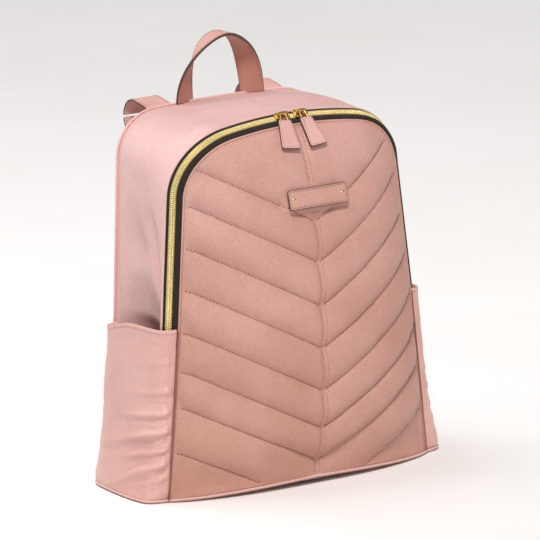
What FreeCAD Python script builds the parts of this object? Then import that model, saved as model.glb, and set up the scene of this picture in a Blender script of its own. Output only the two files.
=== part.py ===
# Quilted faux-leather diaper backpack: an arch-topped bag with a wide zip-down front,
# two side pockets, a carry loop, two padded shoulder straps and two stroller loops.
#
# Millimetres: +Z up, the bag's front faces -Y, +X is to the right seen from the front.
# Origin: on the ground plane under the middle of the base panel. Rest pose: zipped shut.
#
# Soft parts (panels, gusset, pockets, straps) are plain closed solids of the true outer size.
# Zip sliders, pulls, adjusters, rings, rivets and press studs are modelled as made.
import FreeCAD, Part
import math
import os

V = FreeCAD.Vector
os.makedirs("parts", exist_ok=True)
for old in os.listdir("parts"):
    if old.endswith(".step"):
        os.remove(os.path.join("parts", old))

# ------------------------------------------------------------------ driving dimensions
H_BACK = 400.0          # height of the back panel
Y_BACK = 80.0           # outer face of the back panel
SEAM_W0 = 164.5         # half width of the front panel at the base
SEAM_TAPER = 0.092      # half width lost per mm of height
ARCH_TOP = 393.0        # height of the front panel's top edge
ARCH_R = 500.0          # radius of the zip's flat top run
CORNER_R = 66.0         # radius of the zip's two upper corners
BACK_W0 = 153.0         # half width of the back panel at the base
BACK_TAPER = 0.07
BACK_CORNER_R = 50.0
BACK_TOP_R = 1500.0
EDGE_TOP_Y = -80.0      # Y of the front panel's edge along the top run
Z_BEND = 180.0          # height at which the front is split into lower part and flap
BEND_GAP = 0.8          # clearance from Z_BEND to either part
FLAP_FOOT = Z_BEND + BEND_GAP
GAP = 0.25              # clearance between neighbouring soft parts
T_SKIN = 1.4            # faux leather
T_FOAM = 6.0            # quilting foam
T_LINE = 0.8            # lining
T_GUSSET = 2.0
T_POCKET = 1.6
T_POCKET_LINE = 0.7
T_BACK_FOAM = 5.0
BASE_T = 2.2
BOARD_T = 3.0
SOFT_FOOT = BASE_T + GAP      # height at which the upright panels start
POCKET_TOP = 178.0

# Zip band, seen in section; the chain's two coil halves lie along it
BAND_N, BAND_Y = 11.0, 18.0   # rise out of the arch, run towards the back
BAND_W = math.hypot(BAND_N, BAND_Y)
COIL_W = 4.0            # one coil half
COIL_H = 2.4
COIL_GAP = 1.2          # between the coil halves, where the slider's web runs
CHAIN_U = 12.6          # middle of the chain, measured across the band from the front panel
INNER_U = CHAIN_U - COIL_GAP / 2    # facing edges of the coil halves
OUTER_U = CHAIN_U + COIL_GAP / 2

# Front centre line: height, Y
BELLY = [(0, -95), (20, -101), (52, -113), (104, -121.5), (150, -124), (197, -124.5),
         (245, -123), (290, -118.5), (345, -105.5), (375, -93), (393, -81.5), (410, -68)]
# Side pocket: height, half width outside and half width at the rear
POCKET_OUT = [(0, 191.5), (12, 190.0), (36, 183.5), (62, 178.5), (100, 173.5), (140, 169.5),
              (178, 166.0)]
POCKET_REAR = [(0, 174.0), (12, 173.0), (36, 167.0), (62, 162.0), (100, 157.0), (140, 153.0),
               (178, 149.0)]


# ------------------------------------------------------------------ helpers
def save(shape, name):
    if shape.ShapeType == "Solid" and shape.Volume < 0:
        shape.reverse()
    shape.exportStep(os.path.join("parts", name + ".step"))


def mirror_x(shape):
    return shape.mirror(V(0, 0, 0), V(1, 0, 0))


def save_pair(shape, name):
    """Saves a right-hand piece and its mirror image."""
    save(mirror_x(shape), name + "_left")
    save(shape, name + "_right")


def unit(vector):
    vector.normalize()
    return vector


def interp(table, x):
    """Catmull-Rom through a table of (x, y)."""
    last = len(table) - 1
    if x <= table[0][0]:
        return table[0][1]
    if x >= table[-1][0]:
        return table[-1][1]
    k = 0
    while table[k + 1][0] < x:
        k += 1
    x0, y0 = table[k]
    x1, y1 = table[k + 1]
    h = x1 - x0
    slope0 = slope1 = (y1 - y0) / h
    if k > 0:
        slope0 = (y1 - table[k - 1][1]) / (x1 - table[k - 1][0])
    if k + 1 < last:
        slope1 = (table[k + 2][1] - y0) / (table[k + 2][0] - x0)
    t = (x - x0) / h
    return ((2 * t**3 - 3 * t**2 + 1) * y0 + (t**3 - 2 * t**2 + t) * h * slope0
            + (-2 * t**3 + 3 * t**2) * y1 + (t**3 - t**2) * h * slope1)


def smooth(t):
    t = max(0.0, min(1.0, t))
    return t * t * (3 - 2 * t)


def mesh_solid(points, tris):
    shape = Part.Shape()
    shape.makeShapeFromMesh(([V(*p) for p in points], tris), 0.0005)
    solid = Part.makeSolid(Part.Shell(shape.Faces))
    if solid.Volume < 0:
        solid.reverse()
    return solid


def sheet(outer, inner):
    """Closed solid between two equal grids of points."""
    n, m = len(outer), len(outer[0])
    points = [p for row in outer + inner for p in row]
    tris = []

    def out(i, j):
        return i * m + j

    def inn(i, j):
        return n * m + i * m + j

    def quad(a, b, c, d):
        tris.append((a, b, c))
        tris.append((a, c, d))

    for i in range(n - 1):
        for j in range(m - 1):
            quad(out(i, j), out(i + 1, j), out(i + 1, j + 1), out(i, j + 1))
            quad(inn(i, j), inn(i, j + 1), inn(i + 1, j + 1), inn(i + 1, j))
        quad(out(i, 0), inn(i, 0), inn(i + 1, 0), out(i + 1, 0))
        quad(out(i, m - 1), out(i + 1, m - 1), inn(i + 1, m - 1), inn(i, m - 1))
    for j in range(m - 1):
        quad(out(0, j), out(0, j + 1), inn(0, j + 1), inn(0, j))
        quad(out(n - 1, j), inn(n - 1, j), inn(n - 1, j + 1), out(n - 1, j + 1))
    return mesh_solid(points, tris)


def tube(sections):
    """Closed solid through equal convex sections."""
    n, m = len(sections), len(sections[0])
    tris = []
    for i in range(n - 1):
        for j in range(m):
            a, b = i * m + j, i * m + (j + 1) % m
            c, d = (i + 1) * m + (j + 1) % m, (i + 1) * m + j
            tris.append((a, b, c))
            tris.append((a, c, d))
    end = (n - 1) * m
    for j in range(1, m - 1):
        tris.append((0, j + 1, j))
        tris.append((end, end + j, end + j + 1))
    return mesh_solid([p for section in sections for p in section], tris)


def offset_grid(grid, dist, inward, flat=()):
    """Moves each point of a grid by dist along the local normal that points the way inward()
    says. Points at the heights in flat keep their height, so cut edges stay level."""
    n, m = len(grid), len(grid[0])
    moved = []
    for i in range(n):
        row = []
        for j in range(m):
            a = V(*grid[min(i + 1, n - 1)][j]) - V(*grid[max(i - 1, 0)][j])
            b = V(*grid[i][min(j + 1, m - 1)]) - V(*grid[i][max(j - 1, 0)])
            normal = a.cross(b)
            if normal.Length < 1e-9:
                normal = V(0, 1, 0)
            normal.normalize()
            p = V(*grid[i][j])
            if normal.dot(V(*inward(p))) < 0:
                normal = normal * -1
            if any(abs(p.z - f) < 1e-6 for f in flat):
                normal.z = 0.0
                normal.normalize()
            q = p + normal * dist
            row.append((q.x, q.y, q.z))
        moved.append(row)
    return moved


def layer(grid, depth, thick, inward, flat):
    """A sheet of the given thickness whose outer face lies depth inside the grid."""
    return sheet(offset_grid(grid, depth, inward, flat),
                 offset_grid(grid, depth + thick, inward, flat))


def prism(points, direction):
    return Part.Face(Part.makePolygon(points + [points[0]])).extrude(direction)


def slab(outline, y, thick):
    """An (x, z) outline as a plate from y to y + thick."""
    return prism([V(x, y, z) for x, z in outline], V(0, thick, 0))


def box(x0, x1, y0, y1, z0, z1):
    return Part.makeBox(x1 - x0, y1 - y0, z1 - z0, V(x0, y0, z0))


def strip(path, thick, width, x0):
    """A flat strap whose side view (Y, Z) follows path, extruded in X from x0 by width."""
    left, right = [], []
    for i, (y, z) in enumerate(path):
        a = path[max(i - 1, 0)]
        b = path[min(i + 1, len(path) - 1)]
        dy, dz = b[0] - a[0], b[1] - a[1]
        length = math.hypot(dy, dz)
        ny, nz = -dz / length, dy / length
        left.append(V(x0, y + ny * thick / 2, z + nz * thick / 2))
        right.append(V(x0, y - ny * thick / 2, z - nz * thick / 2))
    return prism(left + right[::-1], V(width, 0, 0))


def cord(path, r, m=8):
    """A round cord of m sides along a path of points."""
    sections = []
    side = None
    for i, p in enumerate(path):
        along = unit(V(*path[min(i + 1, len(path) - 1)]) - V(*path[max(i - 1, 0)]))
        if side is None:
            side = V(0, 0, 1) if abs(along.z) < 0.8 else V(0, 1, 0)
        side = unit(side - along * side.dot(along))
        other = along.cross(side)
        angles = [2 * math.pi * k / m for k in range(m)]
        sections.append([V(*p) + (side * math.cos(a) + other * math.sin(a)) * r for a in angles])
    return tube(sections)


def place(shape, origin, ex, ey, ez):
    """Puts a shape modelled on X, Y, Z onto the axes ex, ey, ez at origin."""
    matrix = FreeCAD.Matrix(ex.x, ey.x, ez.x, origin.x,
                            ex.y, ey.y, ez.y, origin.y,
                            ex.z, ey.z, ez.z, origin.z, 0, 0, 0, 1)
    placed = shape.copy()
    placed.Placement = FreeCAD.Placement(matrix).multiply(placed.Placement)
    return placed


# ------------------------------------------------------------------ the bag's outlines
def seam_x(z):
    return SEAM_W0 - SEAM_TAPER * z


def seam_y(z):
    return -59.0 - 7.0 * min(z, 190.0) / 190.0


def back_x(z):
    return BACK_W0 - BACK_TAPER * z


def corner_centre(foot_w, taper, r, top_r, top_z):
    """Centre (x, z) of the corner arc that touches both the side and the top run."""
    top_centre = top_z - top_r
    low, high = top_z - 3 * r, top_z
    for _ in range(60):
        z = (low + high) / 2
        x = foot_w - taper * z - r * math.sqrt(1 + taper * taper)
        if math.hypot(x, z - top_centre) > top_r - r:
            high = z
        else:
            low = z
    return x, z


def arch(foot_w, taper, r, top_r, top_z, z0, n_side=10, n_corner=12, n_top=16, sides=None):
    """Outline open at the bottom, from the left foot at z0 over the top to the right foot.
    Stations are (x, z, nx, nz, t) with the outward normal; t is 0 on the straight sides,
    grows round each corner and is 1 along the top run. sides gives the side heights."""
    cx, cz = corner_centre(foot_w, taper, r, top_r, top_z)
    top_centre = top_z - top_r
    a_side = math.atan(taper)
    a_top = math.atan2(cz - top_centre, cx)
    side_end = cz + r * math.sin(a_side)
    half = []
    for z in (sides or [z0 + (side_end - z0) * i / n_side for i in range(n_side)]):
        half.append((foot_w - taper * z, z, math.cos(a_side), math.sin(a_side), 0.0))
    for i in range(n_corner):
        a = a_side + (a_top - a_side) * i / n_corner
        nx, nz = math.cos(a), math.sin(a)
        half.append((cx + r * nx, cz + r * nz, nx, nz, i / n_corner))
    for i in range(n_top // 2 + 1):
        a = a_top + (math.pi / 2 - a_top) * i / (n_top // 2)
        nx, nz = math.cos(a), math.sin(a)
        half.append((top_r * nx, top_centre + top_r * nz, nx, nz, 1.0))
    left = [(-x, z, -nx, nz, t) for x, z, nx, nz, t in half]
    return left + half[::-1][1:]


def front_arch(z0, **counts):
    return arch(SEAM_W0, SEAM_TAPER, CORNER_R, ARCH_R, ARCH_TOP, z0, **counts)


def back_arch(z0, **counts):
    return arch(BACK_W0, BACK_TAPER, BACK_CORNER_R, BACK_TOP_R, H_BACK, z0, **counts)


def edge_y(z, t):
    """Y of the front panel's edge at an arch station."""
    return seam_y(z) + (EDGE_TOP_Y - seam_y(z)) * smooth(t)


def belly_y(x, z):
    """The bellied front before it is drawn to the arch's edge."""
    u = min(1.0, abs(x) / seam_x(z))
    return seam_y(z) + (interp(BELLY, z) - seam_y(z)) * (1 - u**2.4) ** 0.8


# x, z and Y error of the belly along the front arch
EDGE_ERRORS = [(x, z, edge_y(z, t) - belly_y(x, z))
               for x, z, _, _, t in front_arch(0.0, n_side=40, n_corner=30, n_top=40)]


def front_y(x, z):
    """The front panel's outer face."""
    y = belly_y(x, z)
    if z < 250:
        return y
    dist2, error = min(((x - a) ** 2 + (z - b) ** 2, c) for a, b, c in EDGE_ERRORS)
    return y + error * math.exp(-dist2 / 15.0**2)


# ------------------------------------------------------------------ front: lower part and flap
def inward_front(p):
    return (-p.x * 0.2, 60.0 - p.y, 0.0)


def save_layers(name, outer, flat):
    """Skin, foam and lining as three separate solids."""
    depth = 0.0
    for part, thick in (("_skin", T_SKIN), ("_foam", T_FOAM), ("_lining", T_LINE)):
        save(layer(outer, depth, thick, inward_front, flat), name + part)
        depth += thick + GAP


across = [math.sin(math.pi / 2 * (k / 9.0)) for k in range(-9, 10)]
lower_z = [SOFT_FOOT + (Z_BEND - BEND_GAP - SOFT_FOOT) * k / 8 for k in range(9)]
lower = [[(u * seam_x(z), front_y(u * seam_x(z), z), z) for u in across] for z in lower_z]
save_layers("front_lower", lower, (lower_z[0], lower_z[-1]))

# The flap's arch is split at the middle of each corner: side edges below it, top edge above it
FLAP_SIDE, FLAP_CORNER = 8, 12
flap_arch = [(s[0], s[1]) for s in
             front_arch(FLAP_FOOT, n_side=FLAP_SIDE, n_corner=FLAP_CORNER, n_top=12)]
split = FLAP_SIDE + FLAP_CORNER // 2
left_edge = flap_arch[:split + 1]
top_edge = flap_arch[split:len(flap_arch) - split]
right_edge = [(-x, z) for x, z in left_edge]
n_up, n_across = len(left_edge) - 1, len(top_edge) - 1
foot_left, foot_right = left_edge[0][0], right_edge[0][0]
bottom_edge = [(foot_left + (foot_right - foot_left) * i / n_across, FLAP_FOOT)
               for i in range(n_across + 1)]


def flap_point(i, j):
    """Coons patch between the four edges: i across, j up."""
    u, v = i / n_across, j / n_up
    x, z = [(1 - v) * bottom_edge[i][c] + v * top_edge[i][c]
            + (1 - u) * left_edge[j][c] + u * right_edge[j][c]
            - ((1 - u) * (1 - v) * left_edge[0][c] + u * (1 - v) * right_edge[0][c]
               + (1 - u) * v * left_edge[-1][c] + u * v * right_edge[-1][c])
            for c in range(2)]
    return (x, front_y(x, z), z)


flap = [[flap_point(i, j) for i in range(n_across + 1)] for j in range(n_up + 1)]
save_layers("flap", flap, (FLAP_FOOT,))

# ------------------------------------------------------------------ zip band
# Unit directions in section (out of the arch, towards the back): across the band and out of it
ACROSS_N, ACROSS_Y = BAND_N / BAND_W, BAND_Y / BAND_W
OUT_N, OUT_Y = ACROSS_Y, -ACROSS_N


def band_point(station, u, w):
    """A point of the zip band: u across it from the front panel's edge, w out of it."""
    x, z, nx, nz, t = station
    n = ACROSS_N * u + OUT_N * w
    return (x + nx * n, edge_y(z, t) + ACROSS_Y * u + OUT_Y * w, z + nz * n)


zip_stations = front_arch(FLAP_FOOT, n_side=14, n_corner=16, n_top=28)


def band_tube(section):
    """A (u, w) section run along the zip."""
    return tube([[band_point(s, u, w) for u, w in section] for s in zip_stations])


def tape(u0, u1, w0=-1.0, w1=-0.25):
    return band_tube([(u0, w0), (u1, w0), (u1, w1), (u0, w1)])


def coil_half(u0, u1):
    return band_tube([(u0, 0.2), (u0 + 0.6, -0.1), (u1 - 0.6, -0.1), (u1, 0.2),
                      (u1, COIL_H - 0.7), (u1 - 0.9, COIL_H - 0.1),
                      (u0 + 0.9, COIL_H - 0.1), (u0, COIL_H - 0.7)])


save(tape(2.1, INNER_U), "zip_tape_inner")
save(tape(OUTER_U, BAND_W - 1.3), "zip_tape_outer")
save(coil_half(INNER_U - COIL_W, INNER_U), "zip_coil_inner")
save(coil_half(OUTER_U, OUTER_U + COIL_W), "zip_coil_outer")


def bottom_stop(station):
    """Clamp on the gusset half of the zip, just below the chain's end so it clears the coil."""
    _, _, nx, nz, _ = station
    along_y = V(OUT_N * nx, OUT_Y, OUT_N * nz)
    along_x = V(ACROSS_N * nx, ACROSS_Y, ACROSS_N * nz)
    along_z = along_x.cross(along_y)
    start = 1.0 if along_z.z < 0 else -4.6
    stop = Part.makeBox(5.0, 3.2, 3.6, V(-2.5, -1.4, start))
    stop = stop.makeFillet(0.5, stop.Edges)
    return place(stop, V(*band_point(station, OUTER_U + 2, 0)), along_x, along_y, along_z)


save(Part.makeCompound([bottom_stop(zip_stations[0]), bottom_stop(zip_stations[-1])]),
     "zip_bottom_stops")

# ------------------------------------------------------------------ zip sliders and pulls
SLIDER_L = 16.5
SLIDER_X = 11.5                # its middle, along the arc from the bag's centre line
BAR_W = COIL_H + 4.85          # height of the bridge's bar over the tape
BAR_R = 0.9
LEG_X = 5.7                    # bridge legs, either side of the slider's middle
PULL_LEAN = math.radians(40.0)    # the hanging pull's lean from vertical, to the front
SLEEVE_R = 1.9                 # the link's sleeve round the bridge bar
WIRE_R = 0.75
WIRE_CLEAR_R = WIRE_R + 0.15
LINK_DROP = -12.0              # the link's lower wire
LINK_HALF = 3.0                # half spacing of the side wires at the bar
LINK_FLARE = 1.6               # extra half spacing at the lower wire
TAB_TOP = -8.4
TAB_T = 2.4
# Tab outline: x, depth below TAB_TOP
TAB_OUTLINE = [(-6.8, 0), (6.8, 0), (7.7, 1.0), (11.4, 33.4),
               (9.6, 35.4), (-9.6, 35.4), (-11.4, 33.4), (-7.7, 1.0)]


def on_top_run(shape, angle):
    """From band coordinates (x along, y across from the panel edge, z out) to the top run,
    turned round the arc by angle degrees."""
    placed = place(shape, V(0, EDGE_TOP_Y, ARCH_TOP),
                   V(1, 0, 0), V(0, ACROSS_Y, ACROSS_N), V(0, OUT_Y, OUT_N))
    placed.rotate(V(0, 0, ARCH_TOP - ARCH_R), V(0, 1, 0), angle)
    return placed


def slider():
    """Slider with its web at the -x end."""
    u0, u1 = INNER_U - COIL_W - 1.4, OUTER_U + COIL_W + 1.2
    mid, half_w = (u0 + u1) / 2, (u1 - u0) / 2
    x0, x1 = -SLIDER_L / 2, SLIDER_L / 2
    # top plate, a shield shape seen from above
    edge = [(x0, -0.78), (x0 + 3.5, -1), (x1 - 4.5, -1), (x1, -0.55),
            (x1, 0.55), (x1 - 4.5, 1), (x0 + 3.5, 1), (x0, 0.78)]
    top = prism([V(x, mid + half_w * f, COIL_H + 0.3) for x, f in edge], V(0, 0, 1.5))
    top = top.makeFillet(0.55, [e for e in top.Edges if e.BoundBox.ZMin > COIL_H + 1.7])
    front_lip = box(x0 + 3.6, x1 - 4.6, u0, u0 + 0.95, 0.35, COIL_H + 0.6)
    rear_lip = box(x0 + 3.6, x1 - 4.6, u1 - 0.9, u1, COIL_H - 0.4, COIL_H + 0.6)
    web = box(x0 + 2.0, x0 + 6.0, CHAIN_U - 0.3, CHAIN_U + 0.3, -2.4, COIL_H + 0.6)
    under = box(x0 + 1.0, x1 - 2.0, u0 + 0.3, CHAIN_U + 0.3, -2.9, -1.5)
    # bridge: two legs and a round bar along the slider
    legs = []
    for x in (-LEG_X, LEG_X):
        leg = box(x - 1.0, x + 1.0, CHAIN_U - 1.5, CHAIN_U + 1.5, COIL_H + 1.5, BAR_W + 0.9)
        legs.append(leg.makeFillet(0.5, [e for e in leg.Edges if e.BoundBox.ZMin > BAR_W]))
    bar = Part.makeCylinder(BAR_R, 2 * LEG_X, V(-LEG_X, CHAIN_U, BAR_W), V(1, 0, 0))
    return top.multiFuse([front_lip, rear_lip, web, under, bar] + legs).removeSplitter()


def pull(tilt):
    """Wire link hinged on the bridge bar by a sleeve, and the leather tab over its lower wire.
    Pull coordinates: x along the bar, z up. Tab and wires lean by tilt degrees about y,
    the sleeve doesn't."""
    lean = FreeCAD.Rotation(V(0, 1, 0), tilt)
    low = [lean.multVec(V(x, 0, LINK_DROP))
           for x in (-LINK_HALF - LINK_FLARE, LINK_HALF + LINK_FLARE)]
    high = [V(-LINK_HALF, 0, 0), V(LINK_HALF, 0, 0)]
    side_wires = ((high[0], low[0]), (high[1], low[1]))
    rods = [Part.makeCylinder(SLEEVE_R, 7.6, V(-3.8, 0, 0), V(1, 0, 0))]
    for a, b in side_wires + ((low[0], low[1]),):
        rods.append(Part.makeCylinder(WIRE_R, (b - a).Length, a, b - a))
        rods.append(Part.makeSphere(WIRE_R, b))
    rods.append(Part.makeSphere(WIRE_R, low[0]))
    link = rods[0].multiFuse(rods[1:])
    bore = Part.makeCylinder(BAR_R + 0.1, 12, V(-6, 0, 0), V(1, 0, 0))
    link = link.cut(bore).removeSplitter()

    tab = prism([V(x, -TAB_T / 2, TAB_TOP - depth) for x, depth in TAB_OUTLINE], V(0, TAB_T, 0))
    tab.rotate(V(0, 0, 0), V(0, 1, 0), tilt)
    lower_wire = low[1] - low[0]
    tab = tab.cut(Part.makeCylinder(WIRE_CLEAR_R, lower_wire.Length, low[0], lower_wire))
    for a, b in side_wires:
        tab = tab.cut(Part.makeCylinder(WIRE_CLEAR_R, (a - b).Length, b, a - b))
        tab = tab.cut(Part.makeSphere(WIRE_CLEAR_R, b))
    # keep the tab only, without crumbs cut loose between the wires
    if len(tab.Solids) > 1:
        tab = max(tab.Solids, key=lambda solid: solid.Volume)
    return link, tab


# the pull's upward direction in band coordinates
lean_n, lean_y = -math.cos(PULL_LEAN), -math.sin(PULL_LEAN)
pull_up = V(0, -(lean_n * ACROSS_N + lean_y * ACROSS_Y), -(lean_n * OUT_N + lean_y * OUT_Y))

# the web ends face each other at the middle of the run
for side, sign, tilt in (("left", -1, 10.0), ("right", 1, -7.0)):
    angle = sign * math.degrees(SLIDER_X / ARCH_R)
    body = slider() if sign > 0 else mirror_x(slider())
    save(on_top_run(body, angle), "zip_slider_" + side)
    link, tab = pull(tilt)
    for shape, name in ((link, "pull_link_"), (tab, "pull_tab_")):
        hung = place(shape, V(0, CHAIN_U, BAR_W),
                     V(1, 0, 0), pull_up.cross(V(1, 0, 0)), pull_up)
        save(on_top_run(hung, angle), name + side)

# ------------------------------------------------------------------ gusset
GUSSET_COLUMNS = 7
GUSSET_Z = [SOFT_FOOT, 40.0, 80.0, 120.0, 158.0, Z_BEND - 0.6, 205.0, 235.0, 265.0, 292.0]
GUSSET_MID = 118.0      # half width of the body halfway back, behind each side pocket


def gusset_grid():
    """Rows run over the arch from foot to foot, columns from the zip to the back panel."""
    counts = {"n_corner": 10, "n_top": 12, "sides": GUSSET_Z}
    rows = []
    for front, back in zip(front_arch(SOFT_FOOT, **counts), back_arch(SOFT_FOOT, **counts)):
        fx, fz, nx, nz, _ = front
        if fz < Z_BEND - 5:
            start = (fx - math.copysign(0.8, fx), seam_y(fz) + 7.0, fz)
        else:
            start = band_point(front, BAND_W + 1.6, -0.4)
        end = (back[0], Y_BACK - 10.6, back[1])
        row = []
        for k in range(GUSSET_COLUMNS):
            q = k / (GUSSET_COLUMNS - 1)
            x, y, z = [a + (b - a) * q for a, b in zip(start, end)]
            # the top bulges out, the sides sink in, deepest behind the pockets
            side = smooth((ARCH_TOP - 70 - z) / 80.0)
            low = smooth((235.0 - z) / 45.0)
            hump = math.sin(math.pi * q)
            deep = max(0.0, 0.5 * (seam_x(z) + back_x(z)) - GUSSET_MID - 4.0)
            bulge = (3.0 * hump * (1 - side)
                     - (4.0 + deep * low) * hump ** (0.8 - 0.3 * low) * side)
            x += nx * bulge
            if abs(nz) > 0.2:
                z += nz * bulge
            row.append((x, y, z))
        rows.append(row)
    return rows


def inward_gusset(p):
    return (-p.x, 0.0, -(p.z - 180.0) if p.z > 180 else 0.0)


gusset = gusset_grid()
save(layer(gusset, 0.0, T_GUSSET, inward_gusset, (SOFT_FOOT,)), "gusset_skin")
save(layer(gusset, T_GUSSET + GAP, T_LINE, inward_gusset, (SOFT_FOOT,)), "gusset_lining")


# ------------------------------------------------------------------ side pockets
def pocket_curve(z):
    """Plan of the right pocket's outer face at height z, from the front to the back seam."""
    xs = seam_x(z) + 0.6
    ys = seam_y(z) + 0.4
    out = interp(POCKET_OUT, z)
    rear = interp(POCKET_REAR, z)
    return [(xs, ys + 1.2), (xs + 0.45 * (out - xs), ys + 3.2), (out - 3.0, ys + 11.0),
            (out, ys + 26.0), (out + 1.0, ys + 55.0), (out - 1.0, ys + 90.0),
            (out - 4.5, Y_BACK - 22.0), (rear + 6.0, Y_BACK - 9.0),
            (rear - 3, Y_BACK - 4.0), (rear - 9.0, Y_BACK - 2.4)]


def inward_pocket(p):
    return (-1.0, 0.35 * (10.0 - p.y) / 80.0, 0.0)


pocket_z = [SOFT_FOOT, 13.0, 24.0, 38.0, 62.0, 100.0, 140.0, POCKET_TOP]
pocket = [[(x, y, z) for x, y in pocket_curve(z)] for z in pocket_z]


def pocket_face(depth):
    return offset_grid(pocket, depth, inward_pocket, (pocket_z[0], pocket_z[-1]))


def lining_face(depth):
    """As pocket_face, but two columns short of each seam."""
    return [row[2:-2] for row in pocket_face(depth)]


def flip(rows, sign):
    return [[(sign * x, y, z) for x, y, z in row] for row in rows]


pocket_in = pocket_face(T_POCKET)
lining_out = lining_face(T_POCKET + GAP)
lining_in = lining_face(T_POCKET + GAP + T_POCKET_LINE)
for side, sign in (("left", -1), ("right", 1)):
    save(sheet(flip(pocket, sign), flip(pocket_in, sign)), "side_pocket_" + side)
    save(sheet(flip(lining_out, sign), flip(lining_in, sign)), "pocket_lining_" + side)

# ------------------------------------------------------------------ back panel
BACK_INSET = 3.5        # foam and lining stay this far inside the panel's edge
back_stations = back_arch(SOFT_FOOT, n_side=6, n_corner=10, n_top=6)


def inset(stations, dist):
    points = [(x - nx * dist, z - nz * dist) for x, z, nx, nz, _ in stations]
    foot = stations[0][1] + dist
    points[0] = (points[0][0], foot)
    points[-1] = (points[-1][0], foot)
    return points


back_inner = inset(back_stations, BACK_INSET)
foam_y = Y_BACK - T_SKIN - GAP - T_BACK_FOAM
save(slab([(s[0], s[1]) for s in back_stations], Y_BACK - T_SKIN, T_SKIN), "back_panel")
save(slab(back_inner, foam_y, T_BACK_FOAM), "back_foam")
save(slab(back_inner, foam_y - GAP - T_LINE, T_LINE), "back_lining")

# ------------------------------------------------------------------ base
base_x = [(-1 + k / 6.0) * SEAM_W0 for k in range(13)]
base_front = [(x, front_y(x, 0) - 0.6) for x in base_x]
base_right = [(x + 0.6, y) for x, y in pocket_curve(0)[1:9]]
base_right[-1] = (base_right[-1][0], Y_BACK)
base_outline = base_front + base_right + [(-x, y) for x, y in base_right[::-1]]
save(prism([V(x, y, 0) for x, y in base_outline], V(0, 0, BASE_T)), "base_panel")

# Stiffening board's outline: x, y
BOARD = [(-109, -44), (-102, -56), (-76, -68), (0, -76), (76, -68), (102, -56), (109, -44),
         (107, 50), (100, 56), (-100, 56), (-107, 50)]
save(prism([V(x, y, SOFT_FOOT) for x, y in BOARD], V(0, 0, BOARD_T)), "base_board")

# ------------------------------------------------------------------ piping
PIPING_FOOT = 6.0
PIPING_R = 1.15
BACK_PIPING_R = 1.5

# up both front seams beside the pockets
piping_z = [PIPING_FOOT + (POCKET_TOP - PIPING_FOOT) * k / 12 for k in range(13)]
save(Part.makeCompound([
    cord([(sign * (seam_x(z) + 1.4), seam_y(z) - 1.5, z) for z in piping_z], PIPING_R)
    for sign in (-1, 1)]), "front_seam_piping")

# round the back panel, pushed further out along the sides
back_path = []
for x, z, nx, nz, _ in back_arch(8.0, n_side=8, n_corner=12, n_top=10):
    x += nx * 1.6
    z += nz * 1.6
    if z < 380:
        x += 1.2 if x > 0 else -1.2
    else:
        z += 0.2
    back_path.append((x, Y_BACK + 1.8, z))
save(cord(back_path, BACK_PIPING_R), "back_piping")

# ------------------------------------------------------------------ organiser on the back wall
ORGANISER_HALF = 112
ORGANISER_Y = Y_BACK - 10.6    # its two ends
ORGANISER_DEPTH = 12.0
organiser_plan = [(-ORGANISER_HALF + 2 * ORGANISER_HALF * k / 6,
                   ORGANISER_Y - ORGANISER_DEPTH * math.sin(math.pi * (k / 6)) ** 0.4)
                  for k in range(7)]


def organiser_sheet(heights, forward, back):
    """A sheet on the organiser's plan, from forward of it to back of it."""
    return sheet([[(x, y - forward, z) for x, y in organiser_plan] for z in heights],
                 [[(x, y + back, z) for x, y in organiser_plan] for z in heights])


save(organiser_sheet((12.0, 60.0, 120.0, 176.0), 0.0, 0.8), "organiser_pocket")
save(organiser_sheet((176.3, 186.0), 0.9, 1.0), "organiser_elastic")

# ------------------------------------------------------------------ name patch and rivets (blank)
PATCH_X, PATCH_Z = 2.0, 320.0
PATCH_W, PATCH_H, PATCH_T = 74.0, 22.0, 1.8
PATCH_CORNER_R = 3.0
RIVET_X = 30.5

patch_low, patch_high = PATCH_Z - PATCH_H / 2, PATCH_Z + PATCH_H / 2
# clear of the foremost point of the belly behind the patch
patch_y = min(front_y(x, z) for x in (PATCH_X - 36, 0, PATCH_X + 36)
              for z in (patch_low, PATCH_Z, patch_high)) - 0.4
slope = math.atan2(front_y(0, patch_high) - front_y(0, patch_low), PATCH_H)

# modelled upright, front face at y 0
patch = Part.makeBox(PATCH_W, PATCH_T, PATCH_H, V(-PATCH_W / 2, 0, -PATCH_H / 2))
patch = patch.makeFillet(PATCH_CORNER_R, [
    e for e in patch.Edges
    if abs(e.BoundBox.YLength - PATCH_T) < 1e-6 and e.BoundBox.XLength < 1e-6])
patch = patch.makeFillet(0.4, [e for e in patch.Edges if e.BoundBox.YMax < 0.01])
rivets = []
for x in (-RIVET_X, RIVET_X):
    patch = patch.cut(Part.makeCylinder(1.35, 5.0, V(x, -1, 0), V(0, 1, 0)))
    head = Part.makeSphere(3.0, V(x, 2.1, 0), V(0, 1, 0), -90, 90, 360)
    head = head.common(Part.makeBox(8, 0.9, 8, V(x - 4, -0.95, -4)))
    rivets.append(head.fuse(Part.makeCylinder(1.25, 2.0, V(x, -0.2, 0), V(0, 1, 0))))
patch_frame = (V(PATCH_X, patch_y - 1.9, PATCH_Z), V(1, 0, 0),
               V(0, math.cos(slope), -math.sin(slope)), V(0, math.sin(slope), math.cos(slope)))
save(place(patch, *patch_frame), "name_patch")
save(Part.makeCompound([place(rivet, *patch_frame) for rivet in rivets]), "patch_rivets")

# ------------------------------------------------------------------ carry handle
HANDLE_Y, HANDLE_Z = 77.0, 404.3      # the handle's two feet
HANDLE_X, HANDLE_H = 43.0, 68.0       # half span and rise
HANDLE_W, HANDLE_T = 28.0, 3.2
HANDLE_STEPS = 28


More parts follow.
